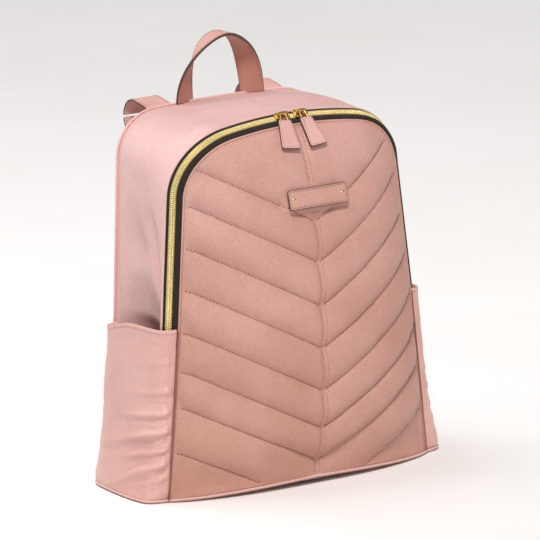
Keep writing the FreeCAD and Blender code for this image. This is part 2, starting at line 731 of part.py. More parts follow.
def handle_station(i):
    """Centre of the strap and the angle of its width from X, turning to lie along Y on top."""
    a = math.pi * i / HANDLE_STEPS
    s = math.sin(a)
    x = -HANDLE_X * math.cos(a) * (1 - 0.10 * s)
    z = HANDLE_Z + HANDLE_H * (s ** 0.82 if s > 1e-9 else 0)
    turn = math.radians(90.0 * smooth(min(a, math.pi - a) / math.radians(52)))
    if a > math.pi / 2:
        turn = math.pi - turn
    return V(x, HANDLE_Y - 11.0 * s * s, z), turn


handle = [handle_station(i) for i in range(HANDLE_STEPS + 1)]
sections = []
for i, (centre, turn) in enumerate(handle):
    if i in (0, HANDLE_STEPS):
        along = V(0, 0, 1 if i == 0 else -1)
    else:
        along = unit(handle[i + 1][0] - handle[i - 1][0])
    wide = V(math.cos(turn), math.sin(turn), 0)
    wide = unit(wide - along * wide.dot(along))
    normal = along.cross(wide)
    sections.append([centre + wide * (a * HANDLE_W / 2) + normal * (b * HANDLE_T / 2)
                     for a, b in ((-1, -1), (1, -1), (1, 1), (-1, 1))])
save(tube(sections), "carry_handle")

# ------------------------------------------------------------------ back yoke
YOKE = [(-104, 352), (104, 352), (112, 366), (104, 384),
        (84, 392), (-84, 392), (-104, 384), (-112, 366)]    # x, z
YOKE_T = 1.8
save(slab(YOKE, Y_BACK + GAP, YOKE_T), "back_yoke")

# ------------------------------------------------------------------ stroller loops
BAR_Y, BAR_Z = 113.0, 383.0   # handlebar centre
BAR_RAD = 19.0                # handlebar radius the loops are shaped for
LOOP_T = 2.6
LOOP_W = 34.0
LOOP_X = 71.0                 # middle of each loop
LOOP_X0 = LOOP_X - LOOP_W / 2
LOOP_MID_R = BAR_RAD + LOOP_T / 2
SADDLE_END = 100              # where the upper half leaves the bar, degrees
SNAP_Z = 337.0
SOCKET_T = 2.0


def saddle(start, end, steps):
    """Part of a ring round the bar; degrees from the rear (+Y) towards the top."""
    centre = V(LOOP_X0, BAR_Y, BAR_Z)
    ring = Part.makeCylinder(BAR_RAD + LOOP_T, LOOP_W, centre, V(1, 0, 0)).cut(
        Part.makeCylinder(BAR_RAD, LOOP_W, centre, V(1, 0, 0)))
    keep = [centre]
    for k in range(steps + 1):
        a = math.radians(start + (end - start) * k / steps)
        keep.append(V(LOOP_X0, BAR_Y + 60 * math.cos(a), BAR_Z + 60 * math.sin(a)))
    return ring.common(prism(keep, V(LOOP_W, 0, 0)))


def loop_upper():
    """Sewn to the yoke, forward run, then a true round saddle over the bar."""
    a = math.radians(SADDLE_END)
    y, z = BAR_Y + LOOP_MID_R * math.cos(a), BAR_Z + LOOP_MID_R * math.sin(a)
    sewn_y = Y_BACK + GAP + YOKE_T + GAP + LOOP_T / 2
    run = (y - (sewn_y + 3.0)) / math.sin(a)
    y1, z1 = y - math.sin(a) * run, z + math.cos(a) * run
    path = [(y, z), (y1, z1), (y1 - 2.0, z1 - 1.1), (sewn_y, z1 - 4.0), (sewn_y, 368.0)]
    return saddle(4, SADDLE_END, 12).fuse(strip(path, LOOP_T, LOOP_W, LOOP_X0)).removeSplitter()


TAIL_Y = Y_BACK + GAP + SOCKET_T + 0.45 + LOOP_T / 2    # middle of the tail's hanging end


def loop_tail():
    """Under the bar, forward to the back panel and down to the press stud."""
    z = BAR_Z - LOOP_MID_R
    path = [(BAR_Y, z), (TAIL_Y + 6.0, z), (TAIL_Y + 2.0, z - 1.4), (TAIL_Y, z - 5.0),
            (TAIL_Y, SNAP_Z - 9.0)]
    tail = saddle(-4, -90, 11).fuse(strip(path, LOOP_T, LOOP_W, LOOP_X0)).removeSplitter()
    return tail.cut(Part.makeCylinder(2.2, 12.0, V(LOOP_X, TAIL_Y - 6.0, SNAP_Z), V(0, 1, 0)))


def snap_cap():
    """Press stud's cap with its shank through the tail."""
    face = TAIL_Y + LOOP_T / 2
    cap = Part.makeCylinder(6.0, 1.3, V(LOOP_X, face + 0.1, SNAP_Z), V(0, 1, 0))
    cap = cap.makeFillet(0.9, [e for e in cap.Edges if e.BoundBox.YMin > face + 1.2])
    shank_y = TAIL_Y - LOOP_T / 2 - 0.25
    return cap.fuse(Part.makeCylinder(2.0, LOOP_T + 0.4, V(LOOP_X, shank_y, SNAP_Z), V(0, 1, 0)))


def snap_socket():
    """Press stud's socket on the back panel below the yoke."""
    y = Y_BACK + GAP
    socket = Part.makeCylinder(5.2, SOCKET_T, V(LOOP_X, y, SNAP_Z), V(0, 1, 0))
    return socket.makeFillet(0.5, [e for e in socket.Edges if e.BoundBox.YMin > y + 1.9])


save_pair(loop_upper(), "stroller_loop")
save_pair(loop_tail(), "stroller_tail")
save_pair(snap_cap(), "snap_cap")
save_pair(snap_socket(), "snap_socket")

# ------------------------------------------------------------------ shoulder straps
# Strap stations: z, x, y, half width
STRAP = [(376.0, 28.0, 85.2, 23.0), (350.0, 28.0, 87.4, 23.5), (330.0, 28.5, 90.0, 24.0),
         (308.0, 30.0, 95.4, 24.5), (280.0, 36.0, 103.0, 25.0), (250.0, 46.0, 109.0, 25.5),
         (220.0, 58.0, 112.0, 25.5), (190.0, 71.0, 111.5, 25.0), (165.0, 82.0, 108.5, 23.0),
         (145.0, 90.5, 104.5, 19.0), (132.0, 96.0, 101.5, 15.5)]
# Strap section as fractions of half width and half thickness
STRAP_SECTION = [(-1, -0.45), (-0.86, -1), (0.86, -1), (1, -0.45),
                 (1, 0.45), (0.86, 1), (-0.86, 1), (-1, 0.45)]
STRAP_T = 9.0


def strap_solid(inset_w=0.0, inset_t=0.0, trim=0):
    """The strap, inset on its width and thickness and with trim stations left off each end."""
    points = [V(x, y, z) for z, x, y, _ in STRAP]
    last = len(points) - 1
    sections = []
    for i in range(trim, last + 1 - trim):
        along = unit(points[min(i + 1, last)] - points[max(i - 1, 0)])
        normal = unit(V(0, 1, 0) - along * along.y)
        wide = along.cross(normal)
        # thinner at both ends
        thick = STRAP_T
        if i == 0:
            thick *= 0.62
        elif i >= last - 1:
            thick *= 0.7
        half_w, half_t = STRAP[i][3] - inset_w, thick / 2 - inset_t
        sections.append([points[i] + wide * (a * half_w) + normal * (b * half_t)
                         for a, b in STRAP_SECTION])
    return tube(sections)


save_pair(strap_solid().cut(strap_solid(3.0, 1.6, trim=1)), "shoulder_strap")
save_pair(strap_solid(3.2, 1.8, trim=1), "strap_foam")

# ------------------------------------------------------------------ webbing, ring and lower tab
STRAP_END = V(96.4, 101.2, 130.6)
RING_AXIS = unit(V(-0.9407, 0.0, -0.3392))      # the ring's two long rods, square to the webbing
RING_C = V(131.0, Y_BACK + 4.9, 33.0)           # middle of the ring's lower rod
RING_H = 11.0
RING_HALF = 14.5
ROD_R = 1.5
WEB_T = 1.5
WEB_W = 25.0
WRAP_R = ROD_R + 0.3          # inside of the webbing's turn round the rod
ADJUSTER_L = 22.0
ADJUSTER_BAR_T = 1.2
TAB_W = 21.0                  # the lower tab's sleeve and wedge

ring_up = STRAP_END - RING_C
ring_up = unit(ring_up - RING_AXIS * ring_up.dot(RING_AXIS))
ROD_TOP = RING_C + ring_up * RING_H
WEB_L = (STRAP_END - ROD_TOP).Length
# Webbing frame at the upper rod: x along the rod, y away from the bag, z down the webbing
web_z = ring_up * -1
web_y = web_z.cross(RING_AXIS)


def on_webbing(shape, up=0.0):
    return place(shape, ROD_TOP - web_z * up, RING_AXIS, web_y, web_z)


def strap_webbing():
    """A straight run from the strap's end, wrapped round the ring's upper rod."""
    run = Part.makeBox(WEB_W, WEB_T, WEB_L + 0.5, V(-WEB_W / 2, -WRAP_R - WEB_T, -WEB_L - 0.5))
    start = V(-WEB_W / 2, 0, 0)
    wrap = Part.makeCylinder(WRAP_R + WEB_T, WEB_W, start, V(1, 0, 0)).cut(
        Part.makeCylinder(WRAP_R, WEB_W, start, V(1, 0, 0)))
    wrap = wrap.common(Part.makeBox(WEB_W, 20, 20, V(-WEB_W / 2, -10, 0)))
    end = Part.makeBox(WEB_W, WEB_T, 9.0, V(-WEB_W / 2, WRAP_R, -9.0))
    return on_webbing(run).fuse(on_webbing(wrap.fuse(end))).removeSplitter()


def strap_adjuster():
    """Side rails, two end bars on the bag's side of the webbing and a middle bar outside it."""
    outer = -WRAP_R + 0.25
    inner = -WRAP_R - WEB_T - 0.25
    low = inner - ADJUSTER_BAR_T
    rails = [Part.makeBox(3.2, outer - inner + 2 * ADJUSTER_BAR_T, ADJUSTER_L,
                          V(x, low, -ADJUSTER_L / 2))
             for x in (-WEB_W / 2 - 3.6, WEB_W / 2 + 0.4)]
    bars = [Part.makeBox(WEB_W + 2.0, ADJUSTER_BAR_T, length, V(-WEB_W / 2 - 1.0, y, z))
            for length, y, z in ((3.0, low, -11.0), (3.0, low, 8.0), (3.4, outer, -1.7))]
    frame = rails[0].multiFuse([rails[1]] + bars).removeSplitter()
    frame = frame.makeFillet(0.5, [e for e in frame.Edges if abs(e.BoundBox.ZLength) > 20])
    return on_webbing(frame, WEB_L - 28.0)


def lower_tab():
    """A folded leather end sewn to the back, round the ring's lower rod."""
    down = V(-RING_AXIS.z, 0, RING_AXIS.x)
    centre = V(RING_C.x, Y_BACK + 0.3, RING_C.z)
    patch = prism([centre + RING_AXIS * x + down * z
                   for x, z in ((-11.0, 2.0), (11.0, 2.0), (13.0, 21.0), (-13.0, 21.0))],
                  V(0, 1.6, 0))
    sleeve = Part.makeCylinder(3.2, TAB_W, RING_C - RING_AXIS * (TAB_W / 2), RING_AXIS)
    bore = Part.makeCylinder(ROD_R + 0.08, 26.0, RING_C - RING_AXIS * 13.0, RING_AXIS)
    # wedge joining the sleeve to the patch: distance off the back, distance down
    profile = ((0.1, 2.4), (1.6, -1.2), (7.0, 2.2), (2.2, 10.0), (0.1, 10.0))
    wedge = prism([centre - RING_AXIS * (TAB_W / 2) + V(0, y, 0) + down * z
                   for y, z in profile], RING_AXIS * TAB_W)
    return patch.multiFuse([sleeve, wedge]).cut(bore).removeSplitter()


def lower_ring():
    """Four round rods with ball corners."""
    half = RING_AXIS * RING_HALF
    corners = [RING_C - half, RING_C + half, ROD_TOP + half, ROD_TOP - half]
    rods = []
    for i, a in enumerate(corners):
        b = corners[(i + 1) % 4]
        rods.append(Part.makeCylinder(ROD_R, (b - a).Length, a, b - a))
        rods.append(Part.makeSphere(ROD_R, a))
    return rods[0].multiFuse(rods[1:]).removeSplitter()


save_pair(strap_webbing(), "strap_webbing")
save_pair(strap_adjuster(), "strap_adjuster")
save_pair(lower_tab(), "lower_tab")
save_pair(lower_ring(), "lower_ring")
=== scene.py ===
# Quilted diaper backpack with a zipped arch, side pockets, carry handle and shoulder straps.
# x runs left (-) to right (+) as seen from the front, the front faces -y, the padded back is at
# y = +80 and the base stands on z = 0. Lengths are millimetres; meshes are written in metres.
import bmesh
import bpy
import itertools
import math
import numpy as np
from mathutils import Vector, Matrix


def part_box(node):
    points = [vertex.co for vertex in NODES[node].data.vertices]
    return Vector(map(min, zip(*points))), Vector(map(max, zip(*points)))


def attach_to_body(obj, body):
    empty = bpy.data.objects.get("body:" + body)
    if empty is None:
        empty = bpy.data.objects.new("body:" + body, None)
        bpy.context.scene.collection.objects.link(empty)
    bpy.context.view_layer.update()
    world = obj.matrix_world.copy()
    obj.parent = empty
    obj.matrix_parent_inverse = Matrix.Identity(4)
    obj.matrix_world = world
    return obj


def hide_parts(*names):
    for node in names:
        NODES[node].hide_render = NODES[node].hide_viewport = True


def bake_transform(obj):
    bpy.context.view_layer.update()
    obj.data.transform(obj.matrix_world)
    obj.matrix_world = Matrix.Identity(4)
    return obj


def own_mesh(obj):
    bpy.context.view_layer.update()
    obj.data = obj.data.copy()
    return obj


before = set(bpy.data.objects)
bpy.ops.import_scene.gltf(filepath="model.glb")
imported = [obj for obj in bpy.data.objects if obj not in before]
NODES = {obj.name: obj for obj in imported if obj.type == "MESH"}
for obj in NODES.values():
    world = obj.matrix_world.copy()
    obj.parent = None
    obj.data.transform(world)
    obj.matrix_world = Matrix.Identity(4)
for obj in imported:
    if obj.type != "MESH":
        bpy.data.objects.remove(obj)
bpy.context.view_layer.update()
MM = 0.001
SIDES = ((-1, "left"), (1, "right"))
Y_AXIS = np.array([0, 1.0, 0])

# ------------------------------------------------------------------ shared sizes
# An arch outline is (half width at z = 0, taper, corner radius, top radius, top height);
# the taper is the half width lost per millimetre of height.
SEAM_HALF_W, SEAM_TAPER = 164.5, 0.092
ARCH_TOP, ARCH_R = 393.0, 500.0
FRONT_OUTLINE = (SEAM_HALF_W, SEAM_TAPER, 66.0, ARCH_R, ARCH_TOP)
BACK_HALF_W, BACK_TAPER, BACK_TOP, BACK_Y = 153.0, 0.07, 400.0, 80.0
BACK_OUTLINE = (BACK_HALF_W, BACK_TAPER, 50.0, 1500.0, BACK_TOP)
ARCH_Y = -80.0                          # front edge of the zip band along its top run

# The zip band slopes from the front panel out to the gusset.
BAND_RISE, BAND_DEPTH = 11.0, 18.0      # along the arch's normal, along y
BAND_WIDTH = math.hypot(BAND_RISE, BAND_DEPTH)
ALONG_N, ALONG_Y = BAND_RISE / BAND_WIDTH, BAND_DEPTH / BAND_WIDTH
OUT_N, OUT_Y = ALONG_Y, -ALONG_N
CHAIN = 12.6                            # middle of the zip teeth, across the band
POCKET_TOP = 178.0

# Front panel on the centre line: (z, y)
BELLY = [
    (0, -95), (20, -101), (52, -113), (104, -121.5), (150, -124), (197, -124.5),
    (245, -123), (290, -118.5), (345, -105.5), (375, -93), (393, -81.5), (410, -68)]
# Side pocket, outermost and at its rear edge: (z, x)
POCKET_OUT = [
    (0, 191.5), (12, 190.0), (36, 183.5), (62, 178.5), (100, 173.5), (140, 169.5), (178, 166.0)]
POCKET_REAR = [
    (0, 174.0), (12, 173.0), (36, 167.0), (62, 162.0), (100, 157.0), (140, 153.0), (178, 149.0)]


# ------------------------------------------------------------------ vectors, curves, noise
def unit(vector):
    return vector / np.linalg.norm(vector, axis=-1, keepdims=True)


def square_to(vector, axis):
    """Unit vector: the part of vector at right angles to the unit axis."""
    return unit(vector - axis * (vector * axis).sum(-1, keepdims=True))


def sstep(start, end, x):
    """Smooth step from 0 at start to 1 at end; start may be the larger."""
    t = np.clip((np.asarray(x, float) - start) / (end - start), 0, 1)
    return t * t * (3 - 2 * t)


def hermite(knots, values, query):
    """Smooth curve through values (n, k) at knots (n,)."""
    slope = np.zeros_like(values)
    slope[1:-1] = (values[2:] - values[:-2]) / (knots[2:] - knots[:-2])[:, None]
    slope[0] = (values[1] - values[0]) / (knots[1] - knots[0])
    slope[-1] = (values[-1] - values[-2]) / (knots[-1] - knots[-2])
    k = np.clip(np.searchsorted(knots, query, side="right") - 1, 0, len(knots) - 2)
    gap = (knots[k + 1] - knots[k])[:, None]
    s = (query - knots[k])[:, None] / gap
    return ((2 * s**3 - 3 * s**2 + 1) * values[k] + (s**3 - 2 * s**2 + s) * gap * slope[k]
            + (-2 * s**3 + 3 * s**2) * values[k + 1] + (s**3 - s**2) * gap * slope[k + 1])


def table_curve(table, samples=1200):
    """Function that reads a two-column table as a smooth curve."""
    table = np.array(table, float)
    query = np.linspace(table[0, 0], table[-1, 0], samples)
    curve = hermite(table[:, 0], table[:, 1:], query)[:, 0]
    return lambda x: np.interp(x, query, curve)


def path_distance(path):
    return np.r_[0, np.cumsum(np.linalg.norm(np.diff(path, axis=0), axis=1))]


def sample(values, distance, at):
    return np.stack([np.interp(at, distance, column) for column in values.T], 1)


def resample(path, step=None, count=None):
    path = np.asarray(path, float)
    distance = path_distance(path)
    count = count or max(2, int(round(distance[-1] / step)) + 1)
    return sample(path, distance, np.linspace(0, distance[-1], count))


def spaced(path, start, stop, pitch, *values):
    """Each of values sampled at every pitch along path, ending stop short of its end."""
    distance = path_distance(path)
    at = np.arange(start, distance[-1] - stop, pitch)
    return [sample(value, distance, at) for value in values]


def spline(points, count):
    """Catmull-Rom curve through points, sampled count times."""
    points = np.asarray(points, float)
    distance = path_distance(points)
    return hermite(distance, points, np.linspace(0, distance[-1], count))


NOISE_CELLS = np.random.RandomState(7).rand(32, 32, 32)


def vnoise(x, y, z):
    """Smooth value noise in -1..1, the same on every run."""
    points = np.stack(np.broadcast_arrays(x, y, z), -1).astype(float)
    cell = np.floor(points).astype(int)
    part = points - cell
    part = part * part * (3 - 2 * part)
    total = 0
    for corner in itertools.product((0, 1), repeat=3):
        weight = np.prod(np.where(corner, part, 1 - part), -1)
        total = total + weight * NOISE_CELLS[tuple(np.moveaxis((cell + corner) % 32, -1, 0))]
    return total * 2 - 1


# ------------------------------------------------------------------ the bag's form
belly = table_curve(BELLY)
pocket_out = table_curve(POCKET_OUT)
pocket_rear = table_curve(POCKET_REAR)


def seam_x(z):
    return SEAM_HALF_W - SEAM_TAPER * np.asarray(z, float)


def seam_y(z):
    return -59.0 - 7.0 * np.minimum(np.asarray(z, float), 190.0) / 190.0


def back_half_width(z):
    return BACK_HALF_W - BACK_TAPER * z


def back_flare(z):
    """Factor that widens the back to meet the side pockets."""
    inside = np.clip(z, 0, POCKET_TOP)
    extra = pocket_rear(inside) - back_half_width(inside) - 8.0
    return 1 + np.maximum(0, extra) * (z < POCKET_TOP) / back_half_width(z)


def corner_centre(outline):
    """Centre of the corner arc that touches both the side line and the top arc."""
    half_width, taper, corner_r, top_r, top_z = outline
    low, high = top_z - 3 * corner_r, top_z
    for _ in range(60):
        z = (low + high) / 2
        x = half_width - taper * z - corner_r * math.sqrt(1 + taper * taper)
        if math.hypot(x, z - (top_z - top_r)) > top_r - corner_r:
            high = z
        else:
            low = z
    return x, z


def arch_runs(outline, foot_z):
    """Corner centre, its start and end angles, the side's top, and the three run lengths."""
    _, taper, corner_r, top_r, top_z = outline
    x, z = corner_centre(outline)
    start = math.atan(taper)
    end = math.atan2(z - (top_z - top_r), x)
    side_top = z + corner_r * math.sin(start)
    side = side_top - foot_z
    lengths = (math.hypot(side, side * taper), corner_r * (end - start),
               top_r * (math.pi / 2 - end))
    return (x, z), (start, end), side_top, lengths


def arch(outline, foot_z, step, spaced_as=None):
    """Stations (x, z, normal x, normal z, turn) from the left foot to the right foot.

    turn is 0 on the side and 1 on the top run. spaced_as is an outline to take the counts from.
    """
    half_width, taper, corner_r, top_r, top_z = outline
    lengths = arch_runs(spaced_as or outline, foot_z)[-1]
    side_n, corner_n, top_n = [max(2, int(round(length / step))) for length in lengths]
    (x, z), (start, end), side_top, _ = arch_runs(outline, foot_z)
    rows = []
    for i in range(side_n):
        height = foot_z + (side_top - foot_z) * i / side_n
        rows.append((half_width - taper * height, height, math.cos(start), math.sin(start), 0.0))
    for i in range(corner_n):
        angle = start + (end - start) * i / corner_n
        cos, sin = math.cos(angle), math.sin(angle)
        rows.append((x + corner_r * cos, z + corner_r * sin, cos, sin, i / corner_n))
    for i in range(top_n + 1):
        angle = end + (math.pi / 2 - end) * i / top_n
        cos, sin = math.cos(angle), math.sin(angle)
        rows.append((top_r * cos, top_z - top_r + top_r * sin, cos, sin, 1.0))
    right = np.array(rows)
    return np.vstack([right * [-1, 1, -1, 1, 1], right[::-1][1:]])


def fill_outline(stations, columns, rows):
    """Grids of x and z that fill an arch: rows go upwards, columns left to right."""
    corner = [i for i in range(len(stations) // 2) if 0 < stations[i, 4] < 1]
    split = corner[len(corner) // 2]
    left = resample(stations[: split + 1, :2], count=rows)
    top = resample(stations[split: len(stations) - split, :2], count=columns)
    right = left * [-1, 1]
    bottom = np.stack([np.linspace(left[0, 0], right[0, 0], columns),
                       np.full(columns, left[0, 1])], 1)
    across = np.linspace(0, 1, columns)[None, :, None]
    up = np.linspace(0, 1, rows)[:, None, None]
    grid = ((1 - up) * bottom[None] + up * top[None]
            + (1 - across) * left[:, None] + across * right[:, None]
            - ((1 - across) * (1 - up) * left[0] + across * (1 - up) * right[0]
               + (1 - across) * up * left[-1] + across * up * right[-1]))
    return grid[..., 0], grid[..., 1]


def edge_y(z, turn):
    return seam_y(z) + (ARCH_Y - seam_y(z)) * sstep(0, 1, turn)


def band(stations, across, out):
    """Points of the zip band: across it from the front panel, and out of its surface."""
    normal = ALONG_N * across + OUT_N * out
    y = edge_y(stations[:, 1], stations[:, 4]) + ALONG_Y * across + OUT_Y * out
    return np.stack([stations[:, 0] + stations[:, 2] * normal, y,
                     stations[:, 1] + stations[:, 3] * normal], 1)


def plain_front_y(x, z):
    share = np.minimum(1.0, np.abs(x) / seam_x(z))
    return seam_y(z) + (belly(z) - seam_y(z)) * (1 - share**2.4) ** 0.8


EDGE = arch(FRONT_OUTLINE, 0.0, step=2.0)
EDGE_GAP = edge_y(EDGE[:, 1], EDGE[:, 4]) - plain_front_y(EDGE[:, 0], EDGE[:, 1])


def nearest_edge(x, z, chunk=20000):
    """Distance to the front's edge and the index of its nearest station."""
    x, z = np.ravel(x), np.ravel(z)
    distance = np.empty(len(x))
    nearest = np.empty(len(x), int)
    for i in range(0, len(x), chunk):
        part = slice(i, i + chunk)
        squared = (x[part, None] - EDGE[None, :, 0]) ** 2 + (z[part, None] - EDGE[None, :, 1]) ** 2
        nearest[part] = squared.argmin(1)
        distance[part] = np.sqrt(squared.min(1))
    return distance, nearest


def front_y(x, z):
    """The front's crown surface, drawn to the zip band along the arch."""
    shape = np.shape(x)
    x, z = np.ravel(x).astype(float), np.ravel(z).astype(float)
    distance, nearest = nearest_edge(x, z)
    pull = np.where(z > 250, EDGE_GAP[nearest] * np.exp(-distance**2 / 225.0), 0)
    return (plain_front_y(x, z) + pull).reshape(shape)


# ------------------------------------------------------------------ materials
def srgb(color):
    linear = [c / 255 / 12.92 if c / 255 <= 0.04045 else ((c / 255 + 0.055) / 1.055) ** 2.4
              for c in color]
    return (*linear, 1.0)


def shade(color, factor):
    return (*(min(1, c * factor) for c in color[:3]), 1.0)


class Shader:
    """A node material driven by object coordinates."""

    def __init__(self, name):
        self.material = bpy.data.materials.new(name)
        self.material.use_nodes = True
        self.tree = self.material.node_tree
        self.surface = self.tree.nodes["Principled BSDF"]
        self.coords = self.tree.nodes.new("ShaderNodeTexCoord").outputs["Object"]

    def node(self, kind, **inputs):
        node = self.tree.nodes.new(kind)
        self.feed(node, inputs)
        return node

    def put(self, value, socket):
        if isinstance(value, (int, float, tuple)):
            socket.default_value = value
        else:
            self.tree.links.new(value, socket)

    def feed(self, node, inputs):
        for key, value in inputs.items():
            self.put(value, node.inputs[key.replace("_", " ")])

    def noise(self, scale, detail=3.0, rough=0.55, output="Fac"):
        node = self.node("ShaderNodeTexNoise", Scale=scale, Detail=detail, Roughness=rough,
                         Vector=self.coords)
        return node.outputs[output]

    def wave(self, scale, axis):
        node = self.node("ShaderNodeTexWave", Scale=scale, Vector=self.coords)
        node.bands_direction = axis
        return node.outputs["Fac"]

    def ramp(self, factor, stops):
        node = self.node("ShaderNodeValToRGB", Fac=factor)
        elements = node.color_ramp.elements
        while len(elements) < len(stops):
            elements.new(0.5)
        for element, (position, color) in zip(elements, stops):
            element.position = position
            element.color = color if len(color) == 4 else (*color, 1)
        return node.outputs["Color"]

    def mix(self, factor, first, second, mode="MIX"):
        node = self.node("ShaderNodeMix")
        node.data_type = "RGBA"
        node.blend_type = mode
        for value, index in ((factor, 0), (first, 6), (second, 7)):
            self.put(value, node.inputs[index])
        return node.outputs[2]

    def math(self, operation, first, second, clamp=False):
        node = self.node("ShaderNodeMath")
        node.operation = operation
        node.use_clamp = clamp
        self.put(first, node.inputs[0])
        self.put(second, node.inputs[1])
        return node.outputs[0]

    def map_range(self, value, **limits):
        return self.node("ShaderNodeMapRange", Value=value, **limits).outputs["Result"]

    def bump(self, height, strength, distance, previous=None):
        node = self.node("ShaderNodeBump", Strength=strength, Distance=distance, Height=height)
        if previous is not None:
            self.put(previous, node.inputs["Normal"])
        return node.outputs["Normal"]

    def finish(self, **inputs):
        self.feed(self.surface, inputs)
        return self.material


def leather(name, base, dark, light, grain=900.0, bump=0.35, rough=(0.42, 0.62), pore=0.25,
            low=None):
    """Pebbled leather; grain is the cell density, low a painted shade that deepens towards the
    base.
    """
    base, dark, light = srgb(base), srgb(dark), srgb(light)
    m = Shader(name)
    broad = m.noise(scale=9.0, rough=0.6)
    mid = m.noise(scale=60.0, detail=4.0, rough=0.6)
    fine = m.noise(scale=420.0, rough=0.6)
    # Slightly warped cells make the pebbles.
    warp = m.noise(scale=260.0, detail=2.0, rough=0.5, output="Color")
    warped = m.node("ShaderNodeMix")
    warped.data_type = "VECTOR"
    for value, index in ((0.0022, 0), (m.coords, 4), (warp, 5)):
        m.put(value, warped.inputs[index])
    cells = m.node("ShaderNodeTexVoronoi", Scale=grain, Vector=warped.outputs[1])
    cells.feature = "DISTANCE_TO_EDGE"
    pebble = m.math("MULTIPLY", cells.outputs["Distance"], 3.4, clamp=True)
    pebble = m.math("POWER", pebble, 0.55)
    # Colour: broad tone, fine speckle, darker gaps between pebbles.
    color = m.ramp(broad, [(0.30, dark), (0.52, base), (0.75, light)])
    color = m.mix(m.math("MULTIPLY", mid, 0.275), color, base)
    speckle = m.ramp(fine, [(0.35, (0.86, 0.84, 0.83)), (0.65, (1.07, 1.06, 1.05))])
    color = m.mix(0.55, color, speckle, "MULTIPLY")
    gap = (1 - pore, 1 - pore * 1.1, 1 - pore * 1.15)
    pits = m.ramp(pebble, [(0.0, gap), (0.5, (1, 1, 1))])
    color = m.mix(0.9, color, pits, "MULTIPLY")
    # Painted shade: the colour is multiplied darker and warmer towards the base, standing in for
    # the weaker light low on the bag.
    if low is not None:
        height = m.node("ShaderNodeSeparateXYZ", Vector=m.coords).outputs["Z"]
        share = m.map_range(height, From_Min=0.0, From_Max=0.34)
        painted_base_shade = m.ramp(share, [(0.0, low), (1.0, (1.0, 1.0, 1.0))])
        color = m.mix(1.0, color, painted_base_shade, "MULTIPLY")
    roughness = m.map_range(mid, To_Min=rough[0], To_Max=rough[1])
    normal = m.bump(pebble, strength=bump, distance=0.00035)
    normal = m.bump(fine, strength=bump * 0.5, distance=0.0004, previous=normal)
    normal = m.bump(mid, strength=bump * 0.35, distance=0.0011, previous=normal)
    return m.finish(Base_Color=color, Roughness=roughness, Normal=normal,
                    Specular_IOR_Level=0.42, Sheen_Weight=0.15, Sheen_Roughness=0.45,
                    Sheen_Tint=light)


def speckled(name, color, scale, detail, dark, light, rough, strength, distance):
    """Plain colour varied by one noise between its dark and light factors."""
    m = Shader(name)
    color = srgb(color)
    noise = m.noise(scale=scale, detail=detail)
    varied = m.ramp(noise, [(0.3, shade(color, dark)), (0.7, shade(color, light))])
    return m.finish(Base_Color=varied, Roughness=rough,
                    Normal=m.bump(noise, strength=strength, distance=distance))


def thread(name, color):
    return speckled(name, color, scale=1800.0, detail=2.0, dark=0.7, light=1.2, rough=0.7,
                    strength=0.4, distance=0.0002)


def woven(name, first, second, scale, rough=0.85, sheen=0.25, bump=0.5):
    """Cloth of crossing bands, scale being their angular rate."""
    first, second = srgb(first), srgb(second)
    m = Shader(name)
    rate = scale / 6.2832
    wave_x, wave_z, wave_y = [m.wave(rate, axis) for axis in "XZY"]
    weave = m.math("MULTIPLY", m.math("ADD", wave_x, wave_y), m.math("ADD", wave_z, 0.35))
    weave = m.math("MULTIPLY", weave, 0.6, clamp=True)
    broad = m.noise(scale=25.0)
    color = m.mix(weave, first, second)
    color = m.mix(m.math("MULTIPLY", broad, 0.35), color, shade(first, 0.7))
    return m.finish(Base_Color=color, Roughness=rough,
                    Normal=m.bump(weave, strength=bump, distance=0.0004), Sheen_Weight=sheen)


def metal(name, color, rough, solid=1.0):
    m = Shader(name)
    color = srgb(color)
    fine = m.noise(scale=180.0, detail=4.0, rough=0.6)
    broad = m.noise(scale=30.0, detail=2.0)
    varied = m.ramp(broad, [(0.3, shade(color, 0.86)), (0.7, shade(color, 1.08))])
    roughness = m.map_range(fine, To_Min=rough, To_Max=rough + 0.12)
    return m.finish(Base_Color=varied, Metallic=solid, Roughness=roughness,
                    Normal=m.bump(fine, strength=0.06, distance=0.0003))


# The front's low tint is painted shade, darker towards its base.
FRONT_LEATHER = leather(
    "front_leather", base=(207, 158, 146), dark=(197, 146, 132), light=(216, 171, 161),
    grain=520.0, bump=0.85, rough=(0.34, 0.5), pore=0.2, low=(0.90, 0.85, 0.78))
SIDE_LEATHER = leather(
    "side_leather", base=(224, 182, 178), dark=(214, 169, 164), light=(232, 194, 191),
    grain=700.0, bump=0.3, rough=(0.34, 0.5), pore=0.10)
POCKET_LEATHER = leather(
    "pocket_leather", base=(218, 171, 162), dark=(206, 157, 148), light=(227, 184, 177),
    grain=700.0, bump=0.3, rough=(0.27, 0.42), pore=0.10)
BACK_LEATHER = leather(
    "back_leather", base=(208, 162, 150), dark=(196, 149, 136), light=(218, 175, 165),
    grain=700.0, bump=0.35, pore=0.15)
STRAP_LEATHER = leather(
    "strap_leather", base=(214, 166, 158), dark=(202, 152, 143), light=(224, 180, 173),
    grain=760.0, bump=0.28, rough=(0.36, 0.5), pore=0.12)
